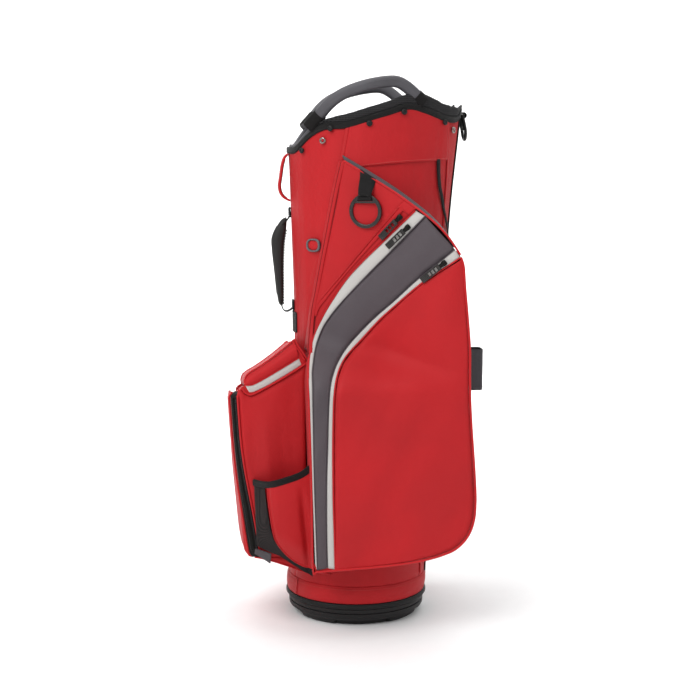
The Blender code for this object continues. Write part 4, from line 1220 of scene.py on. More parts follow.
def ball_pocket():
    front = []
    for r in range(61):
        v = r / 60
        edge = band_start(0.121 + 0.28 * v) - 0.0010
        line = []
        for c in range(61):
            s = abs(c / 30 - 1) * edge
            side = NEAR if c < 30 else FAR
            z = 0.121 + (BAND_TOP - lean(side * min(s, FRONT_HALF_WIDTH)) - 0.121) * v
            u = min((edge - s) / 0.010, 1.0)
            near_edge = 1 - ease(min(u, v * 20, (1 - v) * 20))
            wave = 0.0022 * noise.noise(Vector((c * 0.12, z * 10, 4.0)))
            line.append(ball_point(s, z, -0.0016 + wave - 0.0024 * near_edge, side))
        front.append(line)
    panel = sheet("ball_pocket_front", front, "red", 0.0014)
    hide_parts("ball_pocket")
    for side, word in SIDES:
        top_z = BAND_TOP - lean(side * FRONT_HALF_WIDTH)
        turned_over = 0.010
        band = []
        for r in range(71):
            z = BAND_BOTTOM - 0.006 + (top_z - BAND_BOTTOM + 0.006) * r / 70
            over = turned_over * ease((z - top_z + 0.012) / 0.012) * ease((z - top_z + 0.008) / 0.008)
            band.append([ball_point(band_start(z) + BAND_WIDTH * c / 10, z,
                                    -0.0006 - 0.0010 * abs(c / 5 - 1) ** 3 - over,
                                    side) for c in range(11)])
        sheet(f"ball_zip_tape_{word}", band, "black", 0.0012)
        for number, share in ((1, -0.04), (2, 1.03)):
            line = [(band_start(z) + BAND_WIDTH * share, z) for z in steps(BAND_BOTTOM - 0.004,
                                                                           top_z - 0.001, 90)]
            path = [ball_point(s, z, 0.0006 - 0.006 * ease((z - top_z + 0.010) / 0.010), side) for s,
                    z in line]
            ups = surface_ups(ball_point, line, 0.0, side)
            sweep(f"ball_piping_{word}_{number}", path, circle(0.0016, 9), ups, "red_piping")
        run = [(band_start(z) + BAND_WIDTH * 0.52, z) for z in steps(0.134, top_z - 0.010, 12)]
        zip_teeth(f"ball_zip_teeth_{word}", run, -0.0002, side, surface=ball_point)
        for number, share in ((1, 0.26), (2, 0.80)):
            line = [(band_start(z) + BAND_WIDTH * share, z) for z in steps(0.132, top_z - 0.010, 90)]
            path = [ball_point(s, z, 0.0001, side) for s, z in line]
            ups = surface_ups(ball_point, line, 0.0, side)
            stitches(f"ball_band_stitches_{word}_{number}", path, ups, "thread_grey", 0.0032, 0.002, 0.00022)
        side_top = lambda s: side_height(side_x(s)) - lean(side * FRONT_HALF_WIDTH) - 0.0012
        upright = 0.0030 if side == NEAR else 0.0022

        def side_point(v, u):
            s0 = band_start(FRONT_POCKET_BOTTOM + 0.29 * v) + BAND_WIDTH + 0.0008
            s1 = ball_s(WING_X + 0.0035, FRONT_POCKET_BOTTOM + 0.29 * v)
            s = s0 + (s1 - s0) * u
            z = FRONT_POCKET_BOTTOM + (side_top(s) - FRONT_POCKET_BOTTOM) * v
            full = (4 * u * (1 - u) + 0.001) ** 0.5 * (4 * v * (1 - v) + 0.001) ** 0.4
            near_edge = 1 - ease(min(u * 60, (1 - u) * 60, v * 60, (1 - v) * 60) / 3)
            crease = noise.noise(Vector((s * 42, z * 3.5, 3.0 + side))) * ease((1 - v) * 3.0)
            deep = ease((u - 0.45) * 2.4) * (0.5 - 0.5 * math.cos(2 * math.pi * (u * 1.6 - 0.72)))
            lift = 0.0042 * full - 0.0020 * near_edge + upright * crease * full - 0.0040 * deep * full
            return ball_point(s, z, lift, side)

        sheet(f"ball_side_{word}", point_grid(60, 60, side_point), "red_shaded", 0.0013)
    bottom_rows = []
    for r in range(15):
        t = r / 14
        line = []
        for c in range(41):
            y = -FRONT_HALF_WIDTH * 0.985 + FRONT_HALF_WIDTH * 1.97 * c / 40
            reach = math.sqrt(max(1 - (y / 0.118) ** 2, 0.0))
            start_x, end_x = -0.1880 + 0.010 * abs(y / 0.108) ** 4, -0.1175 * reach - 0.002
            x = start_x + (end_x - start_x) * t
            z = 0.1225 - 0.034 * t**1.3 + 0.0022 * math.sin(math.pi * t) * noise.noise(Vector((y * 40,
                                                                                               t * 3, 2)))
            line.append((x, y, z))
        bottom_rows.append(line)
    sheet("ball_pocket_bottom", bottom_rows, "red_shaded", 0.0013, facing=(0, 0, -1))
    for side, word in SIDES:
        edge = []
        for t in steps(0.0, 1.0, 30):
            x = -0.1800 + t * 0.0830
            z = 0.1225 - 0.0340 * (t * 0.86) ** 1.3
            edge.append((x, side * (FRONT_HALF_WIDTH - 0.0015), z))
        lower = []
        for x, y, z in edge:
            lower.append([(x, y, z - 0.0004), (x, y + side * 0.0010, (z + 0.1225) / 2), (x, y, 0.1235)])
        sheet(f"ball_corner_{word}", lower, "red_shaded", 0.0012, facing=(0, side, 0))
        sweep(f"ball_bottom_piping_{word}", edge, circle(0.0014, 8), (0, 0, 1), "red_piping")


def side_x(s):
    """X of a place on the ball pocket's side, from its place along the plan, near the pocket's top."""
    return s + BALL_FRONTS[4][1] + CORNER - (FRONT_HALF_WIDTH - CORNER) - CORNER * math.pi / 2


# near side outlines of the upper pocket, X against height
LID_OUTLINE = [(-0.1927, 0.4106), (-0.1937, 0.4165), (-0.1925, 0.4223), (-0.1890, 0.4280), (-0.1820, 0.4336),
               (-0.1701, 0.4404), (-0.1557, 0.4500), (-0.1378, 0.4631), (-0.1118, 0.4845)]
LID_HEM = [(-0.1927, 0.4106), (-0.1850, 0.4103), (-0.1762, 0.4130), (-0.1583, 0.4224), (-0.1404, 0.4329),
           (-0.1224, 0.4435), (-0.1055, 0.4538)]
STRIP_HEM = [(-0.1865, 0.3987), (-0.1820, 0.3984), (-0.1751, 0.4009), (-0.1584, 0.4085), (-0.1405, 0.4185),
             (-0.1225, 0.4290), (-0.1009, 0.4426)]
LOW_SEAM = [(-0.2007, 0.4050), (-0.1965, 0.4035), (-0.1918, 0.3978), (-0.1823, 0.3950), (-0.1644, 0.4032),
            (-0.1345, 0.4196), (-0.1069, 0.4360), (-0.0920, 0.4462)]
LID_REAR = [(-0.1118, 0.4850), (-0.1067, 0.4745), (-0.0984, 0.4624), (-0.0920, 0.4520)]


def side_height(x):
    """Top of the ball pocket's side at X."""
    line = np.array(LOW_SEAM)
    return float(np.interp(x, line[:, 0], line[:, 1]))


def on_lid_side(x, z, lift, side):
    return Vector((x, side * (FRONT_HALF_WIDTH + 0.0008 + lift), z - lean(side * FRONT_HALF_WIDTH)))


def accessory_pocket():
    outline, hem = catmull(LID_OUTLINE, 71), catmull(LID_HEM, 71)
    rows = []
    for k in range(71):
        (x_top, z_top), (x_hem, z_hem) = outline[k], hem[k]
        tall = z_top - z_hem
        line = []

        def flat_side(v, side):
            bulge = 0.0030 * (4 * v * (1 - v)) ** 0.6 * min(tall / 0.010, 1.0)
            return on_lid_side(x_hem + (x_top - x_hem) * v * 0.72, z_hem + tall * v * 0.72, bulge, side)

        line += [flat_side(j / 8, NEAR) for j in range(9)]
        round_in = min(0.011, tall * 0.5 + 0.0004)
        for j in range(1, 9):
            angle = math.radians(90 * j / 8)
            share = 0.72 + 0.28 * math.sin(angle)
            y = -(FRONT_HALF_WIDTH + 0.0008 - round_in * (1 - math.cos(angle)))
            line.append(Vector((x_hem + (x_top - x_hem) * share, y, z_hem + tall * share - lean(y))))
        for j in range(1, 33):
            y = -(FRONT_HALF_WIDTH - round_in) + (2 * FRONT_HALF_WIDTH - 2 * round_in) * j / 32
            wave = 0.0018 * noise.noise(Vector((x_top * 30, y * 18, 6.0))) * min(tall / 0.015, 1.0)
            line.append(Vector((x_top, y, z_top - lean(y) + wave - 0.0010)))
        for j in range(1, 9):
            angle = math.radians(90 * (1 - j / 8))
            share = 0.72 + 0.28 * math.sin(angle)
            y = FRONT_HALF_WIDTH + 0.0008 - round_in * (1 - math.cos(angle))
            line.append(Vector((x_hem + (x_top - x_hem) * share, y, z_hem + tall * share - lean(y))))
        line += [flat_side(j / 8, FAR) for j in range(7, -1, -1)]
        rows.append(line)
    lid = sheet("accessory_lid", rows, "red", 0.0014, facing=(-0.2, 0, 1))
    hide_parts("accessory_pocket")
    for side, word in SIDES:
        cloth_patch(f"accessory_zip_strip_{word}", LID_HEM, STRIP_HEM, "light", side, 70, 8,
                    0.0008, 0.0004, 0.0, surface=on_lid_side)
        ridge = middle_line(LID_HEM, STRIP_HEM, 0.52)
        piping(f"accessory_strip_ridge_{word}", trimmed(ridge, 0.03, 0.97), 0.0006, 0.0005, "light", side,
               surface=on_lid_side)
        cloth_patch(f"accessory_under_strip_{word}", STRIP_HEM[:1] + STRIP_HEM[2:], LOW_SEAM[2:],
                    "red_shaded", side, 60,
                    4, 0.0004, 0.0003, -0.0002, surface=on_lid_side)
        cloth_patch(f"accessory_rear_patch_{word}", [(-0.1075, 0.4575), (-0.1050, 0.4480), (-0.1000, 0.4400)],
                    [(-0.1085, 0.4800), (-0.0990, 0.4640), (-0.0925, 0.4480)], "red", side, 16, 8, 0.0006,
                    0.0004,
                    -0.0004, surface=on_lid_side)
        piping(f"accessory_piping_low_{word}", LOW_SEAM, 0.0004, 0.0015, "red_piping", side,
               surface=on_lid_side)
        piping(f"accessory_piping_hem_{word}", LID_HEM, 0.0006, 0.0009, "red_piping", side,
               surface=on_lid_side)
        piping(f"accessory_piping_nose_{word}", LID_OUTLINE, -0.0022, 0.0013, "red_piping", side,
               surface=on_lid_side)
        cloth_patch(f"accessory_nose_patch_{word}", [(-0.1917, 0.4112), (-0.1855, 0.3985)],
                    [(-0.2012, 0.4052), (-0.1918, 0.3972)], "red", side, 12, 10, 0.0004, 0.0002, -0.0008,
                    surface=on_lid_side)
        for number, offset in ((1, 0.0), (2, 0.0036)):
            edge = [(x - offset, z - offset * 0.4) for x, z in LID_REAR]
            piping(f"accessory_piping_rear_{word}_{number}", edge, 0.0006, 0.0014, "red_piping", side,
                   surface=on_lid_side)

    def top(t, across):
        y = -FRONT_HALF_WIDTH * 0.99 + FRONT_HALF_WIDTH * 1.98 * across
        corner = 0.010 * abs(y / FRONT_HALF_WIDTH) ** 8
        start_x = spline(BALL_FRONTS, 0.39)[0] + 0.0035 + corner
        x = start_x + (-0.1830 - start_x) * t
        z = BAND_TOP - 0.0060 + 0.0165 * ease(t * 1.15) * (1 - 0.3 * (1 - t)) - lean(y)
        return x, y, z + 0.0010 * noise.noise(Vector((x * 60, y * 30, 2.0)))

    sheet("ball_pocket_top", point_grid(12, 40, top), "red", 0.0013, facing=(0, 0, 1))


# ---- bottle pocket ---------------------------------------------------------------------------
BOTTLE_HIGH = [(-0.1800, 0.2500), (-0.1575, 0.2520), (-0.1343, 0.2580), (-0.1063, 0.2672), (-0.0880, 0.2800)]
BOTTLE_LOW = [(-0.1765, 0.1440), (-0.1530, 0.1336), (-0.1389, 0.1283), (-0.1186, 0.1132), (-0.0850, 0.0900)]
NET_EDGE = [(-0.1599, 0.2520), (-0.1585, 0.2270), (-0.1526, 0.1824), (-0.1458, 0.1567), (-0.1319, 0.1355),
            (-0.1164, 0.1206), (-0.0976, 0.1095), (-0.0850, 0.1064)]


def on_bottle(x, z, lift, side):
    """Point on the bottle pocket's full front: rising off the ball pocket's side at its front edge."""
    span = min(max((x + 0.1800) / 0.092, 0.0), 1.0)
    stand = 0.034 * (1 - (1 - min(span / 0.42, 1.0)) ** 2.2)
    level = ease((z - 0.085 - 0.055 * (1 - span)) / 0.060)
    stand = 0.004 + stand * (0.30 + 0.70 * level)
    wave = 0.0018 * noise.noise(Vector((x * 34, z * 16, 5.0))) * span
    fold_in = 0.0100 * math.exp(-((x + 0.1000 + 0.10 * (z - 0.20)) / 0.006) ** 2) * ease((0.262 - z) * 14)
    return Vector((x, side * (FRONT_HALF_WIDTH + stand + wave - fold_in * 0.6 + lift), z))


def bottle_pocket():
    front = cloth_patch("bottle_pocket_panel", NET_EDGE,
                        BOTTLE_HIGH[1:] + [(-0.0862, 0.2400), (-0.0845, 0.1064)],
                        "red", NEAR, 70, 44, 0.0012, 0.0006, 0.0014, surface=on_bottle)
    rows = []
    high = catmull(BOTTLE_HIGH, 45)
    for r in range(61):
        v = r / 60
        line = []
        for c in range(45):
            x_high, z_high = high[c]
            x_low = -0.1758 + (x_high + 0.1800) * (0.0910 / 0.0920) if c else -0.1765
            z_edge = float(np.interp(x_low, [p[0] for p in NET_EDGE], [p[1] for p in NET_EDGE]))
            z_edge = max(z_edge, 0.1064)
            if x_low < NET_EDGE[0][0]:
                z_edge = z_high
            low = max(float(np.interp(x_low, [p[0] for p in BOTTLE_LOW], [p[1] for p in BOTTLE_LOW])), 0.088)
            z = low + (min(z_edge, z_high) + 0.002 - low) * v
            x = x_low + (x_high - x_low) * v
            line.append(on_bottle(x, z, -0.0008, NEAR))
        rows.append(line)
    sheet("bottle_pocket_net", rows, "net", 0.0010, facing=(-0.4, -1, 0))
    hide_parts("bottle_pocket")
    edge = [on_bottle(x, z, 0.0006, NEAR) for x, z in catmull(BOTTLE_HIGH, 60)]
    sweep("bottle_pocket_binding", edge, rounded(0.0052, 0.0112, 0.0022, 3), (0, 0, 1), "binding")
    piping("bottle_pocket_seam", NET_EDGE, 0.0018, 0.0009, "red_piping", NEAR, surface=on_bottle)
    inner = [(x + 0.0045, z + 0.0022) for x, z in NET_EDGE[:-1]]
    seam_stitches("bottle_pocket_stitches", inner, 0.0, 0.0030, "thread_red", NEAR, surface=on_bottle)
    closing = []
    for x, z in catmull(BOTTLE_LOW, 40):
        out = on_bottle(x, z, -0.0008, NEAR)
        closing.append([Vector((x, out.y + (-FRONT_HALF_WIDTH + 0.004 - out.y) * k / 4, z + 0.0006 * k))
                        for k in range(5)])
    sheet("bottle_pocket_floor", closing, "net", 0.0010, facing=(0, 0, -1))
    front_wall = []
    for z in steps(0.1440, 0.2500, 30):
        out = on_bottle(-0.1800 + 0.0035 * (0.25 - z) / 0.106, z, -0.0008, NEAR)
        front_wall.append([Vector((out.x, out.y + (-FRONT_HALF_WIDTH + 0.004 - out.y) * k / 3,
                                   z)) for k in range(4)])
    sheet("bottle_pocket_front_wall", front_wall, "net", 0.0010, facing=(-1, 0, 0))
    tab_points = point_grid(14, 8, lambda t, v: (
        -0.1790 + 0.0262 * t - 0.0016 * v,
        -FRONT_HALF_WIDTH - 0.0120 + 0.0060 * v + 0.0012 * math.sin(math.pi * t),
        0.1398 - 0.0090 * t - (0.0090 + 0.0090 * t) * v))
    tab = sheet("drain_tab_moulding", tab_points, "webbing_grey", 0.0018, facing=(0, -1, 0))
    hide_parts("drain_tab")


# ---- zip sliders and pulls -------------------------------------------------------------------
def joint_place(joint):
    """Anchor and axis of a joint, as vectors."""
    return Vector(joint["pos_m"]), Vector(joint["axis"])


def zip_frame(name):
    """Slider frame of a zip from its joints: X the way it opens, Z off the cloth."""
    pivot, hinge = joint_place(JOINTS[f"{name}_pull_hinge"])
    along = Vector(JOINTS[f"{name}_slide"]["axis"])
    normal = along.cross(-hinge)
    return local_frame(pivot, along, normal)


def placed(made, place):
    made.data.transform(place)
    return made


def plate(name, outline, holes, low, high, look, body, bevel=0.0004):
    """Flat plate with window holes, from its outline; edges softly rounded."""
    bm = bmesh.new()
    loops = []
    for ring in [outline] + holes:
        verts = [bm.verts.new((x, y, high)) for x, y in ring]
        loops.append([bm.edges.new((verts[k], verts[(k + 1) % len(verts)])) for k in range(len(verts))])
    bmesh.ops.triangle_fill(bm, use_beauty=True, use_dissolve=False,
                            edges=[e for loop in loops for e in loop])
    bmesh.ops.recalc_face_normals(bm, faces=bm.faces)
    made = bmesh.ops.extrude_face_region(bm, geom=list(bm.faces))
    moved = [v for v in made["geom"] if isinstance(v, bmesh.types.BMVert)]
    for v in moved:
        v.co.z = low
    bmesh.ops.recalc_face_normals(bm, faces=bm.faces)
    mesh = bpy.data.meshes.new(name)
    bm.to_mesh(mesh)
    bm.free()
    mesh.materials.append(MATERIALS[look])
    thing = bpy.data.objects.new(name, mesh)
    bpy.context.scene.collection.objects.link(thing)
    soft = thing.modifiers.new("edge", "BEVEL")
    soft.width = bevel
    soft.segments = 2
    soft.limit_method = "ANGLE"
    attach(thing, body)
    return thing


def box_ring(x0, x1, y0, y1, corner=0.0, steps_in=3):
    width, height = x1 - x0, y1 - y0
    if not corner:
        return [(x0, y0), (x1, y0), (x1, y1), (x0, y1)]
    return shifted(rounded(width, height, corner, steps_in), (x0 + x1) / 2, (y0 + y1) / 2)


def zip_set(name, look="gunmetal"):
    place = zip_frame(name)
    half = 0.0052
    windows = [box_ring(x, x + 0.0048, -0.0030, 0.0030, 0.0006, 2) for x in (0.0050, 0.0117, 0.0184)]
    pull = plate(f"{name}_pull_plate", box_ring(-0.0006, 0.0380, -half, half, 0.0014), windows, -0.0010,
                 0.0010,
                 look, f"{name}_pull", 0.0003)
    placed(pull, place)
    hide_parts(f"{name}_pull")
    ribs = []
    for k in range(4):
        y = -0.0033 + 0.0022 * k
        rib = sweep(f"{name}_rib_{k}", [(0.0265, y, 0.0011), (0.0300, y, 0.0014), (0.0358, y, 0.0011)],
                    circle(0.00055, 6), (0, 0, 1), look, body=f"{name}_pull")
        ribs.append(placed(rib, place))
    join(f"{name}_pull_ribs", ribs)
    offset = Matrix.Translation((-0.0075, 0.0, -0.0028))
    body = []
    for x, width, height in ((-0.0062, 0.0050, 0.6), (-0.0056, 0.0082, 1.0), (-0.0015, 0.0096, 1.0),
                             (0.0024, 0.0076, 1.0), (0.0058, 0.0068, 0.9), (0.0064, 0.0050, 0.6)):
        ring = [(x, a, 0.0020 + b * height) for a, b in rounded(width, 0.0030, 0.0011, 3)]
        body.append(ring)
    verts = [v for ring in body for v in ring]
    count = len(body[0])
    faces = grid_faces(len(body), count, False, True) + end_caps(len(body), count)
    slider = piece(f"{name}_slider_body", verts, faces, "dark_metal", f"{name}_slider")
    face_out(slider)
    placed(slider, place @ offset)
    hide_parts(f"{name}_slider")
    arch = [(-0.0038, 0, 0.0034), (-0.0034, 0, 0.0046), (-0.0010, 0, 0.0052), (0.0020, 0, 0.0052),
            (0.0040, 0, 0.0045), (0.0044, 0, 0.0034)]
    bridge = sweep(f"{name}_bridge", catmull(arch, 20), rounded(0.0024, 0.0009, 0.0003), (0, 0, 1),
                   "dark_metal",
                   body=f"{name}_slider")
    placed(bridge, place @ offset)
    pin = sweep(f"{name}_hinge_pin", [(0.0, -0.0046, 0.0), (0.0, 0.0046, 0.0)], circle(0.0010, 10), (0, 0, 1),
                "dark_metal", body=f"{name}_pull")
    placed(pin, place)


# ---- towel ring ------------------------------------------------------------------------------
def towel_ring():
    pivot, axis = joint_place(JOINTS["towel_ring_swing"])
    outer = 0.0275
    band = 0.0060
    normal = Vector((-SLANT_X, -1.0, -SLANT_Z)).normalized()
    place = local_frame(pivot, -axis, normal)
    middle = outer - 0.0031
    ring = [(outer * math.cos(2 * math.pi * k / 72), -middle + outer * math.sin(2 * math.pi * k / 72))
            for k in range(72)]
    inner_radius = outer - band
    bar_y = -0.0095 + 0.0012
    hole = []
    limit = math.asin((bar_y - 0.0034 + middle) / inner_radius)
    for k in range(61):
        angle = limit - (math.pi + 2 * limit) * k / 60
        hole.append((inner_radius * math.cos(angle), -middle + inner_radius * math.sin(angle)))
    slot_half = 0.0128
    slot = box_ring(-slot_half, slot_half, bar_y - 0.0006, bar_y + 0.0030, 0.0012, 2)
    band_piece = plate("towel_ring_band", ring, [hole, slot], -0.0020, 0.0020, "gunmetal", "towel_ring",
                       0.0011)
    placed(band_piece, place)
    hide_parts("towel_ring")
    half = 0.0118
    rows = []
    for t in steps(0.0, 1.0, 30):
        left = (-0.0068 - 0.0008 * t, 0.7590 - 0.0405 * t)
        right = (0.0172 - 0.0050 * t, 0.7430 - 0.0280 * t)
        lift = 0.0022 + 0.0086 * ease((t - 0.25) * 1.6)
        rows.append([on_pocket(left[0] + (right[0] - left[0]) * s, left[1] + (right[1] - left[1]) * s,
                               lift + 0.0006 * math.sin(math.pi * s), NEAR) for s in steps(0, 1, 8)])
    strap = sheet("towel_strap_webbing", rows, "webbing", 0.0016, facing=(0, -1, 0))
    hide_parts("towel_strap")
    grid = []
    for k in range(25):
        angle = math.radians(360 * k / 24)
        grid.append([place @ Vector((half * s, bar_y + 0.0050 + 0.0036 * math.cos(angle),
                                     0.0034 * math.sin(angle))) for s in steps(-1, 1, 8)])
    sheet("towel_strap_loop", grid, "webbing", 0.0010, facing=(0, -1, 0), body="towel_ring")
    line = [on_pocket(-0.0075 + 0.0200 * t, 0.7215 - 0.0030 * t, 0.0120, NEAR) for t in steps(0, 1, 12)]
    stitches("towel_strap_stitches", line, (0, -1, 0), "thread_black", 0.003, 0.002, 0.0003)


# ---- front fittings --------------------------------------------------------------------------
GRIP_OUTER = [(-0.1188, 0.6785), (-0.1262, 0.6745), (-0.1348, 0.6620), (-0.1422, 0.6440), (-0.1420, 0.6240),
              (-0.1385, 0.5900), (-0.1347, 0.5520), (-0.1316, 0.5340), (-0.1272, 0.5292)]
GRIP_INNER = [(-0.1168, 0.6740), (-0.1182, 0.6560), (-0.1214, 0.6350), (-0.1232, 0.6000), (-0.1234, 0.5620),
              (-0.1238, 0.5340), (-0.1258, 0.5300)]
GRIP_HALF = 0.0105
TEETH = 27


def trunk_handle():
    outer, inner = catmull(GRIP_OUTER, 60), catmull(GRIP_INNER, 60)
    verts = []
    sides = 14
    for k in range(60):
        a, b = outer[k], inner[k]
        middle, reach = (a + b) / 2, (a - b) / 2
        taper = 0.62 + 0.38 * ease(min(k, 59 - k) / 8)
        for j in range(sides):
            angle = 2 * math.pi * j / sides
            c, s = math.cos(angle), math.sin(angle)
            power = 0.72
            cc = math.copysign(abs(c) ** power, c)
            ss = math.copysign(abs(s) ** power, s)
            verts.append((middle[0] + reach[0] * cc, GRIP_HALF * taper * ss, middle[1] + reach[1] * cc))
    faces = grid_faces(60, sides, False, True) + end_caps(60, sides)
    grip = piece("trunk_grip", verts, faces, "grip", "trunk_handle")
    face_out(grip)
    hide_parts("trunk_handle")
    line = catmull(GRIP_INNER[1:-1], TEETH)
    teeth = []
    for k, (x, z) in enumerate(line):
        ring = []
        for dx, dz in ((-0.0020, -0.0019), (0.0004, -0.0015), (0.0022, 0.0), (0.0004, 0.0015),
                       (-0.0020, 0.0019)):
            ring.append((x + dx, z + dz))
        verts = [(a, -GRIP_HALF * 0.72, b) for a, b in ring] + [(a, GRIP_HALF * 0.72, b) for a, b in ring]
        faces = [tuple(range(5)), tuple(range(9, 4, -1))]
        faces += [(j, 5 + j, 5 + (j + 1) % 5, (j + 1) % 5) for j in range(5)]
        teeth.append(piece(f"grip_tooth_{k}", verts, faces, "grip", "trunk_handle", smooth=False))
    join("trunk_grip_teeth", teeth)
    groove = [(a[0] - 0.0001, 0.0, a[1]) for a in outer[8:-8]]
    sweep("trunk_grip_ridge", groove, rounded(0.0060, 0.0012, 0.0005), (-1, 0, 0), "grip",
          body="trunk_handle")
    top_path = catmull([(-0.1085, 0, 0.6920), (-0.1098, 0, 0.6850), (-0.1130, 0, 0.6795),
                        (-0.1165, 0, 0.6740),
                        (-0.1215, 0, 0.6690), (-0.1270, 0, 0.6640)], 30)
    low_path = catmull([(-0.1265, 0, 0.5350), (-0.1262, 0, 0.5290), (-0.1235, 0, 0.5225),
                        (-0.1180, 0, 0.5200),
                        (-0.1110, 0, 0.5230), (-0.1050, 0, 0.5290), (-0.1040, 0, 0.5340)], 34)
    for name, path, start, end in (("top", top_path, (-0.1095, 0, 0.66), (-0.1190, 0, 0.66)),
                                   ("bottom", low_path, (-0.1070, 0, 0.53), (-0.1200, 0, 0.53))):
        ups = [(0, 1, 0)] * len(path)
        strap = sweep(f"trunk_strap_{name}", path, [(b, a) for a, b in rounded(0.0190, 0.0017, 0.0006)], ups,
                      "webbing", body=None)
        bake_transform(strap)
    for name, box_name in (("top", "handle_anchor_top"), ("bottom", "handle_anchor_bottom")):
        low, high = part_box(box_name)
        rows = []
        for z in steps(low[2] - 0.001, high[2] + 0.001, 10):
            edge = min(z - low[2], high[2] - z)
            rows.append([on_body(0, z, 0.0030 + 0.0006 * ease(edge / 0.003)) + Vector((0, y, 0))
                         for y in steps(-0.0135, 0.0135, 14)])
        made = sheet(f"handle_anchor_{name}_patch", rows, "webbing", 0.0022, facing=(-1, 0, 0))
        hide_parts(box_name)
        frame_line = []
        for y, z in ((-0.0115, low[2] + 0.002), (0.0115, low[2] + 0.002), (0.0115, high[2] - 0.002),
                     (-0.0115, high[2] - 0.002), (-0.0115, low[2] + 0.002), (0.0115, high[2] - 0.002)):
            frame_line.append(on_body(0, z, 0.0040) + Vector((0, y, 0)))
        dense = [a.lerp(b, k / 8) for a, b in zip(frame_line, frame_line[1:]) for k in range(8)]
        dense.append(frame_line[-1])
        stitches(f"handle_anchor_{name}_stitches", dense, (-1, 0, 0), "thread_grey", 0.0028, 0.0018,
                 THREAD_RADIUS)


LOOP_PATH = [(-0.1150, 0.7835), (-0.1180, 0.7810), (-0.1215, 0.7765), (-0.1250, 0.7650), (-0.1280, 0.7450),
             (-0.1300, 0.7300), (-0.1275, 0.7190), (-0.1215, 0.7110), (-0.1120, 0.7060)]


def strap_along(name, line, half_width, thickness, look, cols=8):
    """Strap whose middle follows points in the bag's middle plane."""
    rows = []
    for x, z in line:
        rows.append([(x, y, z) for y in steps(-half_width, half_width, cols)])
    return sheet(name, rows, look, thickness, facing=(-1, 0, 0))


def front_loop():
    line = catmull(LOOP_PATH, 50)
    run = np.gradient(line, axis=0)
    run /= np.linalg.norm(run, axis=1, keepdims=True)
    out = np.stack([run[:, 1], -run[:, 0]], axis=1)
    outer = strap_along("front_loop_face", line + out * 0.0014, 0.0152, 0.0036, "red")
    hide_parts("front_lift_loop")
    # Black webbing sheet along the inner side of the loop.
    strap_along("front_loop_inner_black", line[6:46] - out[6:46] * 0.0023, 0.0140, 0.0010, "webbing")
    for side, word in SIDES:
        edge = [(p[0], side * 0.0130, p[1]) for p in line + out * 0.0016]
        stitches(f"front_loop_stitches_{word}", edge, (-1, 0, 0), "thread_red", 0.0034, 0.0022, THREAD_RADIUS)


def pen_sleeve():
    turn, height = 40.2, 0.6350
    stretch = 1.34
    normal = body_normal(turn, height)
    place = local_frame(on_body(turn, height) + normal * 0.0022, (0, 0, 1), normal)
    verts = []
    sides = 48
    for k in range(sides):
        angle = 2 * math.pi * k / sides
        octagon = 1.0 - 0.045 * math.cos(4 * angle)
        for r, z in ((0.0086, -0.0016), (0.0086, 0.0010), (0.0090, 0.0018), (0.0099, 0.0021),
                     (0.0109, 0.0018),
                     (0.0114, 0.0008), (0.0116, -0.0016)):
            verts.append(place @ Vector((r * octagon * math.cos(angle),
                                         stretch * r * octagon * math.sin(angle), z)))
    ring = piece("pen_eyelet_ring", verts, grid_faces(sides, 7, True, True), "eyelet")
    face_out(ring)
    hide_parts("pen_eyelet")
    rows = []
    for r, z in ((0.0, 0.0014), (0.0030, 0.0013), (0.0060, 0.0009), (0.0090, 0.0004)):
        rows.append([place @ Vector((r * math.cos(2 * math.pi * k / 32),
                                     stretch * r * math.sin(2 * math.pi * k / 32),
                                     z - 0.0006)) for k in range(32)])
    sheet("pen_eyelet_cloth", rows, "red", 0.0006, facing=tuple(normal), wrap=True)
    left = [(23.7, 0.6124), (19.0, 0.5700), (15.5, 0.5400), (12.9, 0.5205)]
    right = [(43.2, 0.6143), (37.5, 0.5800), (32.5, 0.5480), (29.4, 0.5234)]
    bottom = [(12.9, 0.5205), (20.0, 0.5150), (29.4, 0.5234)]
    for number, edge in enumerate((left, right, bottom)):
        line = catmull(edge, 60)
        path = [on_body(t, z, 0.0022) for t, z in line]
        ups = [body_normal(t, z) for t, z in line]
        stitches(f"pen_sleeve_stitches_{number}", path, ups, "thread_red", 0.0032, 0.0022, THREAD_RADIUS)


def glove_patch():
    rows = []
    for z in steps(0.4860, 0.5200, 16):
        rows.append([on_body(t, z, 0.0036 - 0.0008 * ease((abs(t) - 10.5) / 3)) for t in steps(-13.5,
                                                                                               13.5, 30)])
    made = sheet("glove_patch_hook", rows, "hook", 0.0022, facing=(-1, 0, 0))
    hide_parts("glove_patch")
    edge = [(-12.6, 0.4875), (12.6, 0.4875), (12.6, 0.5185), (-12.6, 0.5185), (-12.6, 0.4875)]
    dense = []
    for (t0, z0), (t1, z1) in zip(edge, edge[1:]):
        dense += [on_body(t0 + (t1 - t0) * k / 10, z0 + (z1 - z0) * k / 10, 0.0034) for k in range(10)]
    stitches("glove_patch_stitches", dense, [body_normal(0, 0.5)] * len(dense), "thread_grey", 0.003, 0.002)


SIDE_STRAP = [(134.5, 0.7745), (136.2, 0.7500), (139.0, 0.7244), (144.5, 0.7020), (150.6, 0.6829),
              (157.0, 0.6560), (161.5, 0.6321)]


def side_strap():
    line = catmull(SIDE_STRAP, 60)
    rows = []
    for k, (turn, z) in enumerate(line):
        share = k / 59
        ripple = 0.0012 * math.sin(share * 9.0) + 0.0016
        half = 1.7
        rows.append([on_body(turn + half * s, z, 0.0022 + ripple * ease(share * 4) + 0.0004 * (1 - s * s))
                     for s in steps(-1, 1, 6)])
    strap = sheet("side_strap_webbing", rows, "webbing", 0.0014)
    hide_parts("side_strap")


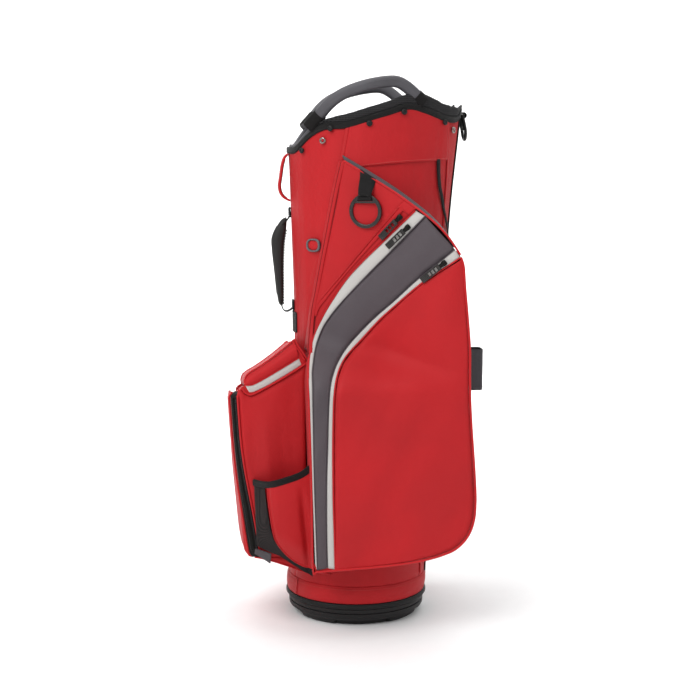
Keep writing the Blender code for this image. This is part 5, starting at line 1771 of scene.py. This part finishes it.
def umbrella_loop():
    low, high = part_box("umbrella_loop")
    x0, x1, y0, y1 = low[0], high[0], low[1], high[1]
    outline = shifted(rounded(x1 - x0, y1 - y0, 0.0055, 5), (x0 + x1) / 2, (y0 + y1) / 2)
    middle = Vector(((x0 + x1) / 2, (y0 + y1) / 2))
    for name, look, inset, tall in (("umbrella_loop_webbing", "webbing_grey", 0.0, 0.0),
                                    ("umbrella_loop_lining", "lining", 0.0013, 0.0008)):
        rows = []
        for r in range(13):
            z = low[2] - tall + (high[2] - low[2] + 2 * tall) * r / 12
            line = []
            for x, y in outline:
                away = (Vector((x, y)) - middle).normalized()
                wave = 0.0004 * noise.noise(Vector((x * 60, y * 60, z * 40)))
                line.append((x - away.x * inset + wave, y - away.y * inset, z))
            rows.append(line)
        made = sheet(name, rows, look, 0.0011, facing=None, wrap=True)
        if inset == 0.0:
            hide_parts("umbrella_loop")
    for number, z in ((1, low[2] + 0.004), (2, high[2] - 0.004)):
        ring = [(x, y, z) for x, y in outline + outline[:1]]
        ups = [((Vector((x, y)) - middle).normalized().x, (Vector((x, y)) - middle).normalized().y, 0)
               for x, y in outline + outline[:1]]
        raised = [Vector(p) + Vector(u) * 0.0003 for p, u in zip(ring, ups)]
        stitches(f"umbrella_loop_stitches_{number}", raised, ups, "thread_grey", 0.003, 0.002)


def rear_ring():
    pivot = joint_place(JOINTS["rear_ring_swing"])[0]
    half, height = 0.016, 0.040
    outline = [Vector((0.0, -half, 0.0)), Vector((0.0, -half * 0.5, 0.0)), Vector((0.0, half * 0.5, 0.0)),
               Vector((0.0, half, 0.0)), Vector((0.003, half, -0.012))]
    for k in range(13):
        angle = math.pi * k / 12
        outline.append(Vector((0.0055 + 0.0015 * math.sin(angle), half * math.cos(angle),
                               -(height - half) - half * math.sin(angle))))
    outline.append(Vector((0.003, -half, -0.012)))
    path = [pivot + Vector((p.x - 0.0030, p.y, p.z)) for p in outline]
    ring = sweep("rear_ring_bar", path, circle(0.0027, 12), (1, 0, 0), "foot", cyclic=True, body="rear_ring")
    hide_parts("rear_d_ring")
    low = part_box("strap_tab")[0]
    rows = []
    for t in steps(0, 1, 24):
        if t < 0.5:
            point = (0.1815, low[2] + (pivot.z - low[2]) * t * 2)
        else:
            swing = math.radians(-20 + 300 * (t - 0.5) * 2)
            point = (pivot.x - 0.0042 * math.cos(swing), pivot.z + 0.0042 * math.sin(swing))
        rows.append([(point[0], y, point[1]) for y in steps(-0.0125, 0.0125, 8)])
    tab = sheet("strap_tab_webbing", rows, "webbing", 0.0013, facing=(1, 0, 0))
    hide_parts("strap_tab")


# ---- stage -----------------------------------------------------------------------------------
CAMERA_AT = (-0.260, -2.377, 0.758)
CAMERA_TILT = 82.7
CAMERA_HEADING = -6.0
LENS = 72.5
WORLD_LIGHT = 0.58


def area_light(name, location, target, size, power):
    light = bpy.data.lights.new(name, "AREA")
    light.shape = "RECTANGLE"
    light.size, light.size_y = size
    light.energy = power
    made = bpy.data.objects.new(name, light)
    made.location = location
    made.rotation_euler = (Vector(target) - Vector(location)).to_track_quat("-Z", "Y").to_euler()
    bpy.context.scene.collection.objects.link(made)


def stage():
    mesh = bpy.data.meshes.new("studio_floor")
    reach, back, rise = 6.0, 3.0, 5.0
    profile = [(-reach, 0.0), (back - 1.2, 0.0)]
    profile += [(back - 1.2 + 1.2 * math.sin(math.radians(a)), 1.2 - 1.2 * math.cos(math.radians(a)))
                for a in range(10, 91, 10)]
    profile.append((back, rise))
    verts = [(x, y, z) for y, z in profile for x in (-reach, reach)]
    faces = [(2 * k, 2 * k + 1, 2 * k + 3, 2 * k + 2) for k in range(len(profile) - 1)]
    mesh.from_pydata(verts, [], faces)
    mesh.shade_smooth()
    s = Shader("studio_paper")
    grain = s.noise(40.0, 2.0)
    mesh.materials.append(s.finish(s.mix(grain, (0.90, 0.90, 0.90), (0.93, 0.93, 0.93)), 0.85,
                                   Specular_IOR_Level=0.1))
    floor = bpy.data.objects.new("studio_floor", mesh)
    bpy.context.scene.collection.objects.link(floor)
    world = bpy.data.worlds.new("soft_white")
    bpy.context.scene.world = world
    world.use_nodes = True
    background = world.node_tree.nodes["Background"]
    background.inputs["Color"].default_value = (1.0, 1.0, 1.0, 1.0)
    background.inputs["Strength"].default_value = WORLD_LIGHT
    area_light("key", (-1.5, -1.7, 2.5), (0, 0, 0.75), (1.9, 1.9), 60)
    area_light("fill", (2.4, -1.6, 1.4), (0, 0, 0.6), (1.8, 1.8), 8)
    area_light("top", (0.2, 0.4, 3.0), (0, 0, 0.4), (2.4, 2.4), 34)
    area_light("wall", (0.0, 1.2, 2.2), (0, 3.0, 0.6), (4.0, 1.5), 60)
    camera = bpy.data.cameras.new("camera")
    camera.lens = LENS
    camera.sensor_width = 36.0
    made = bpy.data.objects.new("camera", camera)
    made.location = CAMERA_AT
    made.rotation_euler = (math.radians(CAMERA_TILT), 0.0, math.radians(CAMERA_HEADING))
    bpy.context.scene.collection.objects.link(made)
    bpy.context.scene.camera = made
    bpy.context.scene.view_settings.view_transform = "Standard"


stage()
body_tube()
base()
collar()
rivets()
divider()
side_pocket(NEAR, "near")
side_pocket(FAR, "far")
ball_pocket()
accessory_pocket()
bottle_pocket()
for zip_name in ("zip_valuables", "zip_upper", "zip_apparel", "zip_far", "zip_accessory", "zip_ball"):
    zip_set(zip_name)
towel_ring()
trunk_handle()
front_loop()
pen_sleeve()
glove_patch()
side_strap()
umbrella_loop()
rear_ring()
